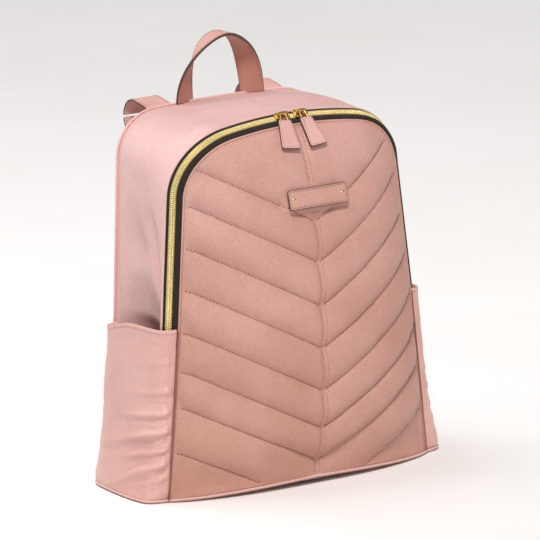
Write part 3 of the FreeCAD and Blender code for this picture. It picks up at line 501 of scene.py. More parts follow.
# Painted shade: a darker copy of the strap leather for the handle's under face, standing in for
# the shade there.
STRAP_PAINTED_SHADE = leather(
    "strap_painted_shade", base=(182, 130, 114), dark=(170, 117, 101), light=(192, 142, 127),
    grain=900.0, bump=0.3, rough=(0.55, 0.7), pore=0.12)
PATCH_LEATHER = leather(
    "patch_leather", base=(204, 156, 143), dark=(192, 143, 129), light=(213, 169, 157),
    grain=560.0, bump=0.5, pore=0.25)
PAINTED_EDGE = speckled("painted_edge", (84, 52, 52), scale=300.0, detail=3.0, dark=0.75,
                        light=1.25, rough=0.5, strength=0.3, distance=0.0004)
ZIP_TAPE = woven("zip_tape_weave", first=(44, 29, 20), second=(24, 16, 11), scale=9000.0,
                 rough=0.9, sheen=0.0, bump=0.4)
LINING = woven("lining_weave", first=(205, 196, 188), second=(186, 176, 168), scale=7000.0,
               rough=0.8)
WEBBING = woven("webbing_weave", first=(190, 138, 126), second=(150, 100, 90), scale=4200.0,
                rough=0.75, bump=0.9)
ELASTIC = woven("elastic_weave", first=(70, 58, 54), second=(40, 32, 30), scale=3600.0, bump=0.9)
GOLD = metal("light_gold", (226, 190, 128), rough=0.2)
COIL = metal("gold_coil", (240, 222, 160), rough=0.3, solid=0.62)
COIL_BASE = metal("gold_coil_base", (188, 160, 98), rough=0.45, solid=0.6)
# The dark stitch thread is partly thread colour and partly painted shade of the stitch holes.
THREAD = thread("stitch_thread", (140, 86, 72))
THREAD_MEDIUM = thread("stitch_thread_medium", (178, 126, 111))
THREAD_LIGHT = thread("stitch_thread_light", (214, 168, 156))
PIPING = leather(
    "piping_leather", base=(150, 92, 78), dark=(132, 78, 66), light=(162, 104, 90),
    grain=1200.0, bump=0.2, pore=0.1)
BOARD_CLOTH = woven("board_cloth", first=(60, 56, 54), second=(44, 41, 40), scale=5000.0)


# ------------------------------------------------------------------ mesh helpers
def make_mesh(name, verts, faces, mats, slots=None):
    """Smooth-shaded object from millimetre points, its normals facing out."""
    mesh = bpy.data.meshes.new(name)
    points = np.asarray(verts, float) * MM
    mesh.from_pydata([tuple(p) for p in points], [], [tuple(int(i) for i in f) for f in faces])
    for mat in mats:
        mesh.materials.append(mat)
    if slots is not None:
        mesh.polygons.foreach_set("material_index", np.asarray(slots, np.int32))
    mesh.polygons.foreach_set("use_smooth", np.full(len(mesh.polygons), True))
    mesh.validate()
    mesh.update()
    obj = bpy.data.objects.new(name, mesh)
    bpy.context.scene.collection.objects.link(obj)
    work = bmesh.new()
    work.from_mesh(mesh)
    bmesh.ops.recalc_face_normals(work, faces=work.faces)
    work.to_mesh(mesh)
    work.free()
    mesh.update()
    return obj


def grid_faces(rows, cols, wrap=False):
    i = np.arange(rows if wrap else rows - 1)[:, None]
    j = np.arange(cols - 1)[None, :]
    here = i * cols + j
    after = (i + 1) % rows * cols + j
    return np.stack([here, after, after + 1, here + 1], -1).reshape(-1, 4)


def ring_faces(count, around):
    faces = []
    for i in range(count - 1):
        for j in range(around):
            a, b = i * around + j, i * around + (j + 1) % around
            faces.append((a, b, b + around, a + around))
    return faces


def tube(name, rings, mats, slots=None, flip_start=False):
    """Closed skin over rings (count, around, 3)."""
    rings = np.asarray(rings)
    count, around = rings.shape[:2]
    start = tuple(range(around))
    end = tuple(range((count - 1) * around, count * around))
    faces = ring_faces(count, around) + [start[::-1] if flip_start else start, end]
    return make_mesh(name, rings.reshape(-1, 3), faces, mats, slots)


def plate(name, rings, painted, leather_mat, start_slot=0):
    """Flat leather piece; faces between two painted rings are painted edge."""
    around = len(rings[0])
    slots = [int(painted[i] and painted[i + 1])
             for i in range(len(rings) - 1) for _ in range(around)]
    return tube(name, rings, [leather_mat, PAINTED_EDGE], slots + [start_slot, 0])


def grid_normals(points):
    normals = np.cross(np.gradient(points, axis=0), np.gradient(points, axis=1))
    length = np.linalg.norm(normals, axis=2)
    length[length < 1e-9] = 1
    return normals / length[..., None]


def thick_sheet(name, outer, thick, mat, inward):
    """Sheet with outer face (rows, cols, 3) and a rounded rim; inward is a rough direction."""
    rows, cols = outer.shape[:2]
    size = rows * cols
    normals = grid_normals(outer)
    if (normals * inward).sum() < 0:
        normals = -normals
    inner = outer + normals * thick
    border = ([(0, j) for j in range(cols)] + [(i, cols - 1) for i in range(1, rows)]
              + [(rows - 1, j) for j in range(cols - 2, -1, -1)]
              + [(i, 0) for i in range(rows - 2, 0, -1)])
    rim = []
    for i, j in border:
        out = np.zeros(3)
        if i == 0:
            out += outer[0, j] - outer[1, j]
        if i == rows - 1:
            out += outer[-1, j] - outer[-2, j]
        if j == 0:
            out += outer[i, 0] - outer[i, 1]
        if j == cols - 1:
            out += outer[i, -1] - outer[i, -2]
        length = np.linalg.norm(out)
        if length > 1e-9:
            out /= length
        rim.append((outer[i, j] + inner[i, j]) / 2 + out * thick * 0.45)
    verts = np.vstack([outer.reshape(-1, 3), inner.reshape(-1, 3), np.array(rim)])
    outer_faces = grid_faces(rows, cols)
    middle = outer_faces[len(outer_faces) // 2]
    a, b, c = verts[middle[:3]]
    flip = np.cross(b - a, c - a) @ normals.reshape(-1, 3)[middle[0]] > 0
    if flip:
        outer_faces = outer_faces[:, ::-1]
    inner_faces = outer_faces[:, ::-1] + size
    rim_faces = []
    for k, (i, j) in enumerate(border):
        after = (k + 1) % len(border)
        a, b = i * cols + j, border[after][0] * cols + border[after][1]
        rim_a, rim_b = 2 * size + k, 2 * size + after
        for quad in ((a, b, rim_b, rim_a), (rim_a, rim_b, size + b, size + a)):
            rim_faces.append(quad if flip else quad[::-1])
    faces = [*outer_faces, *inner_faces, *rim_faces]
    return make_mesh(name, verts, faces, [mat], [0] * len(faces))


def beads(name, rings, mat, flip_ends=False):
    """Many small closed tubes in one mesh; rings is (tubes, count, around, 3)."""
    tubes, count, around = rings.shape[:3]
    start = tuple(range(around))
    end = tuple(range((count - 1) * around, count * around))
    bead = ring_faces(count, around)
    bead += [start, end[::-1]] if flip_ends else [start[::-1], end]
    faces = [tuple(v + i * count * around for v in face) for i in range(tubes) for face in bead]
    return make_mesh(name, rings.reshape(-1, 3), faces, [mat])


# Stitch along its length: (place, radius factor, lift in radii)
STITCH_PROFILE = [(-0.5, 0.35, -0.9), (-0.36, 0.9, 0.1), (0.0, 1.0, 0.35), (0.36, 0.9, 0.1),
                  (0.5, 0.35, -0.9)]


def stitches(name, centres, along, outward, length=2.9, radius=0.33, mat=THREAD):
    """Arched thread stitches at centres."""
    around, flatness = 6, 0.75
    centres = np.asarray(centres, float)
    along = unit(np.broadcast_to(np.asarray(along, float), centres.shape))
    outward = square_to(np.broadcast_to(np.asarray(outward, float), centres.shape), along)
    sideways = np.cross(along, outward)
    points = []
    for place, factor, lift in STITCH_PROFILE:
        for k in range(around):
            angle = 2 * math.pi * k / around
            rise = radius * lift + math.sin(angle) * radius * factor * flatness
            points.append(centres + along * (place * length) + outward * rise
                          + sideways * (math.cos(angle) * radius * factor))
    rings = np.stack(points, 1).reshape(len(centres), len(STITCH_PROFILE), around, 3)
    return beads(name, rings, mat)


# Strap section: (place across, place through), both -1..1
STRAP_SECTION = [
    (-1, 0), (-1, 0.55), (-1, 1), (-0.8, 1), (-0.4, 1), (0, 1), (0.4, 1), (0.8, 1), (1, 1),
    (1, 0.55), (1, 0), (1, -0.55), (1, -1), (0.8, -1), (0.4, -1), (0, -1), (-0.4, -1), (-0.8, -1),
    (-1, -1), (-1, -0.55)]
STRAP_EDGE_COLUMNS = {0, 1, 8, 9, 10, 11, 18, 19}


def ribbon(name, path, across, width, thick, mats, crown=0.25, painted_shade_back=False):
    """Flat strap; mats are faces, edges and, if the second face is in painted shade, that face's
    darker material. Returns its frame too.
    """
    path = np.asarray(path, float)
    count = len(path)
    along = unit(np.gradient(path, axis=0))
    across = square_to(np.broadcast_to(np.asarray(across, float), (count, 3)), along)
    normal = np.cross(along, across)
    half_width, half_thick = width / 2, thick / 2
    edge_round = min(0.55, half_thick * 0.8)
    section = []
    for a, b in STRAP_SECTION:
        if abs(a) == 1:
            inset = {0: 0.0, 0.55: 0.28, 1: 1.0}[abs(b)]
            x = a * (half_width - edge_round * inset)
            y = b * half_thick
        else:
            x = a * half_width
            y = np.sign(b) * (half_thick + crown * (1 - abs(a) ** 2) * 0.5)
        section.append(path + across * x + normal * y)
    skin = np.stack(section, 1)
    around = skin.shape[1]
    verts = [skin.reshape(-1, 3)]
    faces = ring_faces(count, around)
    # When asked for, the second face's columns take the darker painted-shade copy of the leather.
    columns = [1 if j in STRAP_EDGE_COLUMNS else (2 if painted_shade_back and j > 10 else 0)
               for j in range(around)]
    slots = columns * (count - 1)
    # Flat ends, slightly rounded
    base = count * around
    for i, sign in ((0, -1), (count - 1, 1)):
        centre = path[i] + along[i] * sign * 0.35
        verts += [centre + (skin[i] - path[i]) * 0.93, centre[None, :]]
        for j in range(around):
            after = (j + 1) % around
            a, b = i * around + j, i * around + after
            end_a, end_b = base + j, base + after
            if sign < 0:
                faces += [(a, end_a, end_b, b), (end_a, base + around, end_b)]
            else:
                faces += [(a, b, end_b, end_a), (end_a, end_b, base + around)]
            slots += [1, 1]
        base += around + 1
    strap = make_mesh(name, np.vstack(verts), faces, mats, slots)
    strap["_frame"] = 1
    return strap, (path, along, across, normal, half_width, half_thick)


def strap_stitches(name, strap_frame, margin=4.0):
    """Rows of stitches along both edges on both faces of a ribbon."""
    *vectors, half_width, half_thick = strap_frame
    path, along, across, normal = spaced(vectors[0], margin, margin, 4.2, *vectors)
    centres, outward = [], []
    for edge in (-1, 1):
        for face in (1, -1):
            centres.append(path + across * (edge * (half_width - 2.6))
                           + normal * (face * (half_thick + 0.12)))
            outward.append(normal * face)
    return stitches(name, np.vstack(centres), np.vstack([along] * 4), np.vstack(outward),
                    length=2.7)


def cord(name, path, radius, mat):
    """Round cord of ten sides along path."""
    along = unit(np.gradient(path, axis=0))
    side = np.array([0, 0, 1.0]) if abs(along[0][2]) < 0.8 else Y_AXIS
    angle = np.arange(10) * 2 * math.pi / 10
    rings = []
    for point, tangent in zip(path, along):
        side = square_to(side, tangent)
        other = np.cross(tangent, side)
        rings.append(point + np.outer(np.cos(angle), side) * radius
                     + np.outer(np.sin(angle), other) * radius)
    return tube(name, rings, [mat], flip_start=True)


def closed(points):
    return np.vstack([points, points[:1]])


def attach(obj, body, slot, *replaced):
    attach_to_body(obj, body)
    if replaced:
        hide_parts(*replaced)


def attach_bending(obj, slot, *replaced):
    """For pieces between the bag and the opening flap: bakes their placement into the mesh and
    hides the parts they replace.
    """
    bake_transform(obj)
    if replaced:
        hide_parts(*replaced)


# ------------------------------------------------------------------ quilted front
APEX = [-32.0, 20.0, 61.0, 105.0, 153.0, 200.0, 248.0, 293.0]   # quilting lines at x = 0
SLOPE = 0.543                                                   # their rise away from the centre
SLOPE_COS, SLOPE_SIN = math.cos(math.atan(SLOPE)), math.sin(math.atan(SLOPE))
PATCH_X, PATCH_Z = 2.0, 320.0


def quilt(x, z, edge_distance):
    """Height of the quilted skin against its crown, negative in the stitched lines."""
    side_x = np.abs(x)
    height = z - SLOPE * side_x
    apex = np.array(APEX)
    k = np.clip(np.searchsorted(apex, height) - 1, 0, len(apex) - 2)
    low, high = apex[k], apex[k + 1]
    share = np.clip((height - low) / (high - low), 0, 1)
    # Each channel is fuller low down; above the last line the padding only rises once.
    puff = np.sin(np.pi * share) ** 0.7 * (1.0 + 0.10 * np.sin(2 * np.pi * share))
    top = height > apex[-1]
    above = height - apex[-1]
    puff = np.where(top, 1 - np.exp(-above / 7.0), puff)
    line = np.abs(np.where(top, above, np.minimum(height - low, high - height)) * SLOPE_COS)
    along = side_x * SLOPE_COS + z * SLOPE_SIN
    side = np.sign(x)
    relief = -(6.0 + 0.8 * vnoise(x / 60, z / 60, 3.1)) * (1 - puff)
    # A fine crease in each line, and short and long puckers square to it
    relief -= 0.7 * np.exp(-(line / 1.1) ** 2)
    short = vnoise(along / 4.6 + 7.7 * side, height / 26.0, 1.7)
    relief += 0.6 * short * np.exp(-line / 9.0) * (1 - np.exp(-line / 1.6))
    long = vnoise(along / 12.0 + 3.3 * side, height / 34.0, 9.2)
    relief += 0.45 * long * np.exp(-line / 18.0)
    # Centre seam: a soft valley with a crease
    valley = 2.1 * np.exp(-(side_x / 5.5) ** 1.5) + 0.9 * np.exp(-(side_x / 0.9) ** 2)
    relief -= sstep(395, 388, z) * valley
    # Soft limit on the depth, then slow undulation
    relief = np.maximum(relief, -6.9 + 0.25 * (relief + 6.9))
    relief += 0.8 * vnoise(x / 42, z / 42, 5.5) - 0.3
    # Pulled down to the arch seam and the bottom seam
    near_edge = np.exp(-(edge_distance / 4.4) ** 1.4)
    relief = relief * (1 - near_edge) - 1.2 * near_edge
    near_base = np.exp(-(np.maximum(z - 2, 0) / 8.0) ** 1.2)
    return relief * (1 - 0.8 * near_base) - 1.0 * near_base


def front_surface(x, z, lift=0.0, quilted=True):
    """Points and outward normals of the front, lift outside its outer face."""
    shape = np.shape(x) + (3,)
    x, z = np.ravel(x).astype(float), np.ravel(z).astype(float)
    h = 0.6
    slope_x = np.clip((front_y(x + h, z) - front_y(x - h, z)) / (2 * h), -2.2, 2.2)
    slope_z = np.clip((front_y(x, z + h) - front_y(x, z - h)) / (2 * h), -2.2, 2.2)
    normals = unit(np.stack([slope_x, -np.ones_like(x), slope_z], 1))
    points = np.stack([x, front_y(x, z), z], 1)
    if quilted:
        relief = quilt(x, z, nearest_edge(x, z)[0])
        # The leather lies flat under the name patch.
        flat = sstep(0, 7, np.minimum(43 - np.abs(x - PATCH_X), 17 - np.abs(z - PATCH_Z)))
        relief = relief * (1 - flat) - 0.6 * flat
        points = points + normals * (relief + lift)[:, None]
        # The lower edge lifts a little in the middle.
        points[:, 2] += (7.0 * (1 - np.clip(np.abs(x) / 164.0, 0, 1) ** 2)
                         * np.exp(-np.maximum(z, 0) / 60.0))
    else:
        points = points + normals * lift
    return points.reshape(shape), normals.reshape(shape)


def front_inward(points):
    return np.sign(points) * [-0.3, 0, 0] + Y_AXIS


front_stations = arch(FRONT_OUTLINE, 2.2, step=1.5)
skin, _ = front_surface(*fill_outline(front_stations, 250, 310))
attach_bending(thick_sheet("quilted_front", skin, 2.0, FRONT_LEATHER, front_inward(skin)),
               "front_leather",
               "front_lower_skin", "front_lower_foam", "flap_skin", "flap_foam")

# Rolled edge beside the zip tape
roll_stations = arch(FRONT_OUTLINE, 150.0, step=2.0)
attach_bending(cord("front_edge_roll", band(roll_stations, 0.6, -0.9), 1.25, FRONT_LEATHER),
               "front_leather")

x, z = fill_outline(front_stations, 60, 80)
skin, _ = front_surface(x, z, lift=-9.0, quilted=False)
skin[..., 1] += 0.8 * vnoise(x / 25, z / 25, 0) + 0.5
attach_bending(thick_sheet("front_lining", skin, 0.9, LINING, front_inward(skin)),
               "lining", "front_lower_lining", "flap_lining")


def quilting_places():
    """Stitch places (x, z) and directions along the sloping lines."""
    places, directions = [], []
    for apex in APEX:
        for sign in (-1, 1):
            x = np.arange(4.0 if apex > -20 else 60.0, 165.0, 0.25)
            z = apex + SLOPE * x
            keep = (z > 6) & (z < 392)
            x, z = x[keep], z[keep]
            # The row stops where it first crosses the outline.
            outside = (nearest_edge(sign * x, z)[0] <= 2.0) | (x >= seam_x(z) - 1.6)
            if outside[3:].any():
                cut = np.argmax(outside)
                x, z = x[:cut], z[:cut]
            path = np.stack([x, front_y(sign * x, z), z], 1)
            row, = spaced(path, 1.5, 0, 4.1, np.stack([sign * x, z], 1))
            places.append(row)
            directions.append(np.tile([sign, SLOPE], (len(row), 1)))
    return np.vstack(places), np.vstack(directions)


def centre_places():
    """Stitch places and directions in two rows beside the centre seam, clear of the patch."""
    z = np.arange(8.0, 386.0, 4.1)
    z = z[np.abs(z - PATCH_Z) >= 13]
    places = np.vstack([np.stack([np.full_like(z, sign * 3.1), z], 1) for sign in (-1, 1)])
    return places, np.tile([0.0, 1.0], (len(places), 1))


for name, (places, directions), radius, lift, mat in (
        ("quilting_stitches", quilting_places(), 0.46, 0.5, THREAD),
        ("centre_stitches", centre_places(), 0.38, 0.32, THREAD_MEDIUM)):
    centres, normals = front_surface(*places.T, lift=lift)
    ahead, _ = front_surface(*(places + directions).T, lift=lift)
    attach_bending(stitches(name, centres, ahead - centres, normals, length=2.7, radius=radius,
                            mat=mat), "front_leather")

# ------------------------------------------------------------------ zip
zip_stations = arch(FRONT_OUTLINE, 166.0, step=2.0)


def band_sheet(name, rows, thick, mat):
    points = np.stack(rows, 1)
    inward = points * [-0.3, 0, -0.3] + [0, 60, 45]
    return thick_sheet(name, points, thick, mat, inward)


def tape(name, across, out, swells=False):
    """Zip tape; across and out give its two edges. A swelling tape arches outwards."""
    swell = tuck = 0.0
    if swells:
        angle = np.arctan2(zip_stations[:, 3], zip_stations[:, 2])
        z = zip_stations[:, 1]
        # More swell round the right corner, none at the feet
        corner = (sstep(math.radians(88), math.radians(62), angle)
                  * (0.2 + 0.8 * sstep(math.radians(4), math.radians(26), angle)))
        swell = (2.0 + 2.0 * corner) * sstep(176, 196, z)
        # The foot is tucked in behind the pocket.
        tuck = 3.4 * sstep(186, 178, z)
    rows = []
    for place in np.linspace(*across, 15):
        share = (place - across[0]) / (across[1] - across[0])
        hump = math.sin(math.pi * min(1.0, share / 0.72)) ** 0.8
        rows.append(band(zip_stations, place,
                         out[0] + (out[1] - out[0]) * share + swell * hump - tuck))
    return band_sheet(name, rows, 0.7, ZIP_TAPE)


def teeth(name, side):
    """Rounded bars of one half of the chain (-1 front, 1 body), reaching just past its middle."""
    pitch, around = 2.3, 8
    stations = arch(FRONT_OUTLINE, 168.0, step=0.5)
    middle = band(stations, CHAIN, 0.9)
    stations, middle = spaced(middle, 1.0 + (pitch / 2 if side > 0 else 0), 1, pitch,
                              stations, middle)
    along = unit(np.gradient(middle, axis=0))
    stretch = 0.74 if side < 0 else 0.90
    # Along a bar: (reach, radius, height)
    profile = [(0.25, 0.55, 0.3), (0.75, 1.0, 0.65), (1.9 * stretch, 1.0, 1.05),
               (3.2 * stretch, 1.0, 1.15), (4.2 * stretch, 0.95, 0.95),
               (4.9 * stretch, 0.5, 0.5)]
    points = []
    for reach, radius, height in profile:
        across = CHAIN + side * (reach - 0.55)
        centre = band(stations, across, 0.05 + height * 0.72)
        out = band(stations, across, 1.05 + height * 0.72) - centre
        for k in range(around):
            angle = 2 * math.pi * k / around
            rise = math.sin(angle) * 0.82 * radius * (0.6 + 0.4 * height)
            points.append(centre + along * (math.cos(angle) * 0.92 * radius) + out * rise)
    rings = np.stack(points, 1).reshape(len(along), len(profile), around, 3)
    return beads(name, rings, COIL, flip_ends=True)


def teeth_bed(name, start, end):
    rows = [band(zip_stations, across, 0.38 + 0.22 * math.sin(math.pi * k / 6))
            for k, across in enumerate(np.linspace(start, end, 7))]
    return band_sheet(name, rows, 0.5, COIL_BASE)


attach_bending(tape("zip_tape_front", (0.2, CHAIN - 0.55), (-0.9, 0.0), swells=True),
               "tape", "zip_tape_inner")
attach(tape("zip_tape_body", (CHAIN + 0.55, BAND_WIDTH + 0.4), (0.15, -0.9)),
       "bag", "tape", "zip_tape_outer")
attach_bending(teeth("zip_teeth_front", -1), "coil", "zip_coil_inner")
attach(teeth("zip_teeth_body", 1), "bag", "coil", "zip_coil_outer")
attach_bending(teeth_bed("zip_cord_front", CHAIN - 3.5, CHAIN - 0.7), "coil")
attach(teeth_bed("zip_cord_body", CHAIN + 0.7, CHAIN + 4.2), "bag", "coil")

# ------------------------------------------------------------------ gusset
GUSSET_FRONT = arch(FRONT_OUTLINE, 2.4, step=3.0)
GUSSET_BACK = arch(BACK_OUTLINE, 2.4, step=3.0, spaced_as=FRONT_OUTLINE)
# Soft folds: (height, y at z = 250, slope of y, width, z of its start, z of its end)
GUSSET_FOLDS = [
    (-4.6, -22, 0.22, 9.0, (190, 235), (330, 285)),
    (2.6, -2, 0.22, 11.0, (190, 235), (335, 290)),
    (-2.6, 28, -0.12, 10.0, (185, 220), (320, 270))]


def gusset(depth, lift=0.0):
    """Gusset points: rows over the arch, columns at depth 0 (zip) to 1 (back panel)."""
    front_z = GUSSET_FRONT[:, 1]
    upper = sstep(162.0, 179.0, front_z)[:, None]
    seam = np.stack([GUSSET_FRONT[:, 0] - np.sign(GUSSET_FRONT[:, 0]) * 0.8,
                     seam_y(front_z) + 7.0, front_z], 1)
    front_edge = band(GUSSET_FRONT, BAND_WIDTH + 0.9, -0.75) * upper + seam * (1 - upper)
    back_edge = np.stack([GUSSET_BACK[:, 0], np.full(len(GUSSET_BACK), BACK_Y - 2.5),
                          GUSSET_BACK[:, 1]], 1)
    share = depth[None, :, None]
    points = front_edge[:, None] * (1 - share) + back_edge[:, None] * share
    normals = GUSSET_FRONT[:, None, 2:4] * (1 - share) + GUSSET_BACK[:, None, 2:4] * share
    x, y, z = np.moveaxis(points.copy(), -1, 0)
    # The top bulges out and the sides sink in, deepest low down.
    side = sstep(0, 1, (ARCH_TOP - 70 - z) / 80.0)
    low = sstep(245.0, 190.0, z)
    hump = np.sin(np.pi * depth)[None, :]
    sink = np.maximum(0.0, 0.5 * (seam_x(z) + back_half_width(z)) - 118.0 - 4.0)
    sink = sink * (0.55 + 0.45 * sstep(185, 150, z))
    bulge = 3.2 * hump * (1 - side) - (8.5 + sink * low) * hump ** (1.15 - 0.3 * low) * side
    relief = 0
    for height, place, slope, width, start, end in GUSSET_FOLDS:
        away = (y - (place + (z - 250) * slope)) / width
        relief = relief + height * np.exp(-away**2) * sstep(*start, z) * sstep(*end, z)
    sign = np.sign(GUSSET_FRONT[:, 0])[:, None]
    relief = relief + 2.0 * vnoise(x / 55 + sign, y / 38, z / 60)
    relief = relief + 0.7 * vnoise(x / 26 + sign * 3, y / 20, z / 24)
    ends = np.minimum(1, 7.0 * np.minimum(depth, 1 - depth))[None, :]
    height = bulge + relief * ends + lift
    points[..., 0] += normals[..., 0] * height
    points[..., 2] += np.where(np.abs(normals[..., 1]) > 0.12, normals[..., 1] * height, 0)
    return points


def gusset_sheet(name, points, thick, mat):
    inward = np.zeros_like(points)
    inward[..., 0] = -points[..., 0]
    inward[..., 2] = np.where(points[..., 2] > 200, -(points[..., 2] - 200) * 1.2, 0)
    return thick_sheet(name, points, thick, mat, inward)


def gusset_back_stitches():
    """Topstitch row just in front of the back seam, above z = 150."""
    row = gusset(np.array([0.955]), lift=0.14)[:, 0]
    outward = np.stack([GUSSET_FRONT[:, 2], np.zeros(len(row)), GUSSET_FRONT[:, 3]], 1)
    centres, outward = spaced(row, 2, 0, 4.1, row, outward)
    along = np.gradient(centres, axis=0)
    keep = centres[:, 2] > 150.0
    return stitches("gusset_back_stitches", centres[keep], along[keep], outward[keep],
                    mat=THREAD_LIGHT)


# Columns are closer beside the zip.
gusset_depth = np.r_[np.linspace(0, 0.16, 17)[:-1], np.linspace(0.16, 1, 50)]
attach(gusset_sheet("gusset", gusset(gusset_depth), 1.9, SIDE_LEATHER),
       "bag", "side_leather", "gusset_skin")
lining = gusset(np.linspace(0.075, 0.925, 60), lift=-3.6)
attach(gusset_sheet("gusset_inner_lining", lining, 0.8, LINING),
       "bag", "lining", "gusset_lining")
attach(cord("gusset_edge_roll", band(roll_stations, BAND_WIDTH + 0.75, -0.95), 1.2,
            SIDE_LEATHER), "bag", "side_leather")
attach(gusset_back_stitches(), "bag", "side_leather")

# ------------------------------------------------------------------ side pockets
POCKET_ROWS, POCKET_COLS = 150, 120
# Height of the mouth above the pocket's top: (share from front to rear, height)
MOUTH = spline([(0, 9.0), (0.15, 8.0), (0.4, 8.0), (0.65, 1.6), (0.85, -6.6), (1.0, -8.0)], 60)
# Creases that fan out of a seam: (height, slope, depth, width, reach)
BROAD_CREASES = [
    (148, -8, 0.9, 3.2, 0.28), (121, -10, 1.5, 3.6, 0.34), (99, -12, 1.9, 3.4, 0.42),
    (80, -20, 2.6, 4.2, 0.55), (60, -18, 1.9, 3.4, 0.40), (46, -30, 2.4, 4.6, 0.55),
    (29, -20, 1.5, 3.6, 0.36)]
FINE_CREASES = [
    (141, -6, 0.7, 1.9, 0.16), (112, -9, 0.9, 2.0, 0.22), (90, -15, 1.2, 2.1, 0.34),
    (71, -22, 1.1, 2.2, 0.40), (53, -24, 1.1, 2.0, 0.30), (38, -32, 0.9, 2.3, 0.42),
    (20, -12, 0.7, 2.0, 0.26)]
REAR_CREASES = [
    (135, 12, 0.6, 7.0, 0.22), (92, 16, -0.8, 6.0, 0.25), (60, 20, 0.9, 7.0, 0.28),
    (28, 10, -0.6, 6.0, 0.25)]


def pocket_plan(z):
    """Plan points (x, y) of the right pocket at height z, from the front seam to the back."""
    x = float(seam_x(z)) + 0.6
    y = float(seam_y(z)) + 0.4
    out, rear = float(pocket_out(z)), float(pocket_rear(z))
    return [(x, y + 1.2), (x + 0.45 * (out - x), y + 3.2), (out - 3.0, y + 11.0),
            (out, y + 26.0), (out + 1.0, y + 55.0), (out - 1.0, y + 90.0),
            (out - 4.5, BACK_Y - 22.0), (rear + 6.0, BACK_Y - 9.0),
            (rear - 3, BACK_Y - 4.0), (rear - 9.0, BACK_Y - 2.4)]


def pocket_creases(side, s, z):
    """Relief of the pocket wall at share s from front to rear; the left one is more creased."""
    soft = 1.0 if side < 0 else 0.2
    relief = np.zeros_like(z)
    for height, slope, depth, width, reach in BROAD_CREASES:
        away = z - height - slope * s / 0.5
        fold = (np.exp(-(away / width) ** 2)
                - 0.75 * np.exp(-((away + 2.1 * width) / (1.5 * width)) ** 2))
        relief += 1.75 * soft * depth * fold * np.exp(-(s / reach) ** 2) * sstep(0.0, 0.06, s)
    for height, slope, depth, width, reach in FINE_CREASES:
        away = z - height - slope * s / 0.5 - 1.6 * np.sin(s * 21 + height)
        fold = (np.exp(-(away / width) ** 2)
                - 0.8 * np.exp(-((away + 2.0 * width) / (1.4 * width)) ** 2))
        relief += soft * depth * fold * np.exp(-(s / reach) ** 2) * sstep(0.01, 0.05, s)
    for height, slope, depth, width, reach in REAR_CREASES:
        away = z - (height + slope * (s - 1) / 0.5)
        relief += (soft * depth * np.exp(-(away / width) ** 2)
                   * np.exp(-((1 - s) / reach) ** 2))
    relief += soft * (1.3 * vnoise(s * 4.2 + side * 5, z / 52, 2.2)
                      + 0.35 * vnoise(s * 10 + side * 3, z / 17, 7.2))
    # Fade out at all four edges.
    return (relief * sstep(0, 0.03, s) * sstep(1.0, 0.96, s) * sstep(2, 12, z)
            * (1 - 0.75 * sstep(150, 172, z)))


def pocket_surface(side, lift=0.0):
    """Points and outward normals of a side pocket."""
    rows = []
    for z in 1.6 + (POCKET_TOP + 0.6 - 1.6) * np.linspace(0, 1, POCKET_ROWS):
        plan = spline(pocket_plan(min(z, POCKET_TOP)), POCKET_COLS)
        rows.append(np.column_stack([plan, np.full(POCKET_COLS, z)]))
    points = np.array(rows)
    z = points[..., 2]
    s = np.linspace(0, 1, POCKET_COLS)[None, :] + np.zeros_like(z)
    normals = grid_normals(points)
    if normals[..., 0].sum() < 0:
        normals = -normals
    relief = pocket_creases(side, s, z)
    # Belly, a soft pinch under the hem, and the bottom edge turned under
    relief += 1.5 * np.sin(np.pi * s) * np.sin(np.pi * np.clip(z / 178, 0, 1))
    relief -= 0.7 * np.exp(-((z - 163) / 3.0) ** 2) * np.sin(np.pi * s)
    relief -= 3.0 * np.exp(-(z - 1.6) / 5.0)
    points = points + normals * (relief + lift)[..., None]
    # The mouth stands high at the front and drops to the back.
    points[..., 2] += np.interp(s, *MOUTH.T) * sstep(100, POCKET_TOP, points[..., 2])
    points[..., 0] *= side
    normals[..., 0] *= side
    return points, normals


# Folded strip over the mouth: (height, distance out)
HEM_PROFILE = [(-3.4, 0.1), (-3.2, 0.5), (-2.6, 0.7), (-1.8, 0.75), (-0.8, 0.7), (0.6, 0.3),
               (1.1, -0.8), (0.6, -2.0), (-1.2, -2.7), (-3.0, -2.8), (-5.0, -2.7)]


def pocket_hem(name, points, normals):
    top = points[-1]
    wall = points[-2] - points[-1]
    slope = wall[:, :2] / np.maximum(1e-6, -wall[:, 2])[:, None]
    rows = []
    for height, out in HEM_PROFILE:
        row = top + normals[-1] * out
        row[:, 2] = top[:, 2] + height
        if height < 0:
            row[:, :2] += slope * -height
        rows.append(row)
    grid = np.array(rows)
    hem = make_mesh(name, grid.reshape(-1, 3), grid_faces(*grid.shape[:2]), [POCKET_LEATHER])
    solid = hem.modifiers.new("t", "SOLIDIFY")
    solid.thickness = 0.0004
    solid.offset = -1
    return hem


def pocket_seam_stitches(name, points, normals, column=5):
    """Row of stitches just behind the front seam."""
    seam, outward = points[:, column], normals[:, column]
    centres, outward = spaced(seam, 6, 14, 4.1, seam + outward * 0.12, outward)
    return stitches(name, centres, np.gradient(centres, axis=0), outward, mat=THREAD_LIGHT)


def add_pocket(side, label):
    points, normals = pocket_surface(side)
    attach(thick_sheet("side_pocket_" + label + "_cover", points, 1.8, POCKET_LEATHER,
                       points * [-1, 0, 0]), "bag", "side_leather", "side_pocket_" + label)
    attach(pocket_hem("pocket_hem_" + label, points, normals), "bag", "side_leather")
    inner = pocket_surface(side, lift=-2.9)[0][4:-6, 7:-7]
    attach(thick_sheet("pocket_inner_" + label, inner, 0.7, LINING, inner * [-1, 0, 0]),
           "bag", "lining", "pocket_lining_" + label)
    attach(pocket_seam_stitches("pocket_seam_stitches_" + label, points, normals),
           "bag", "side_leather")


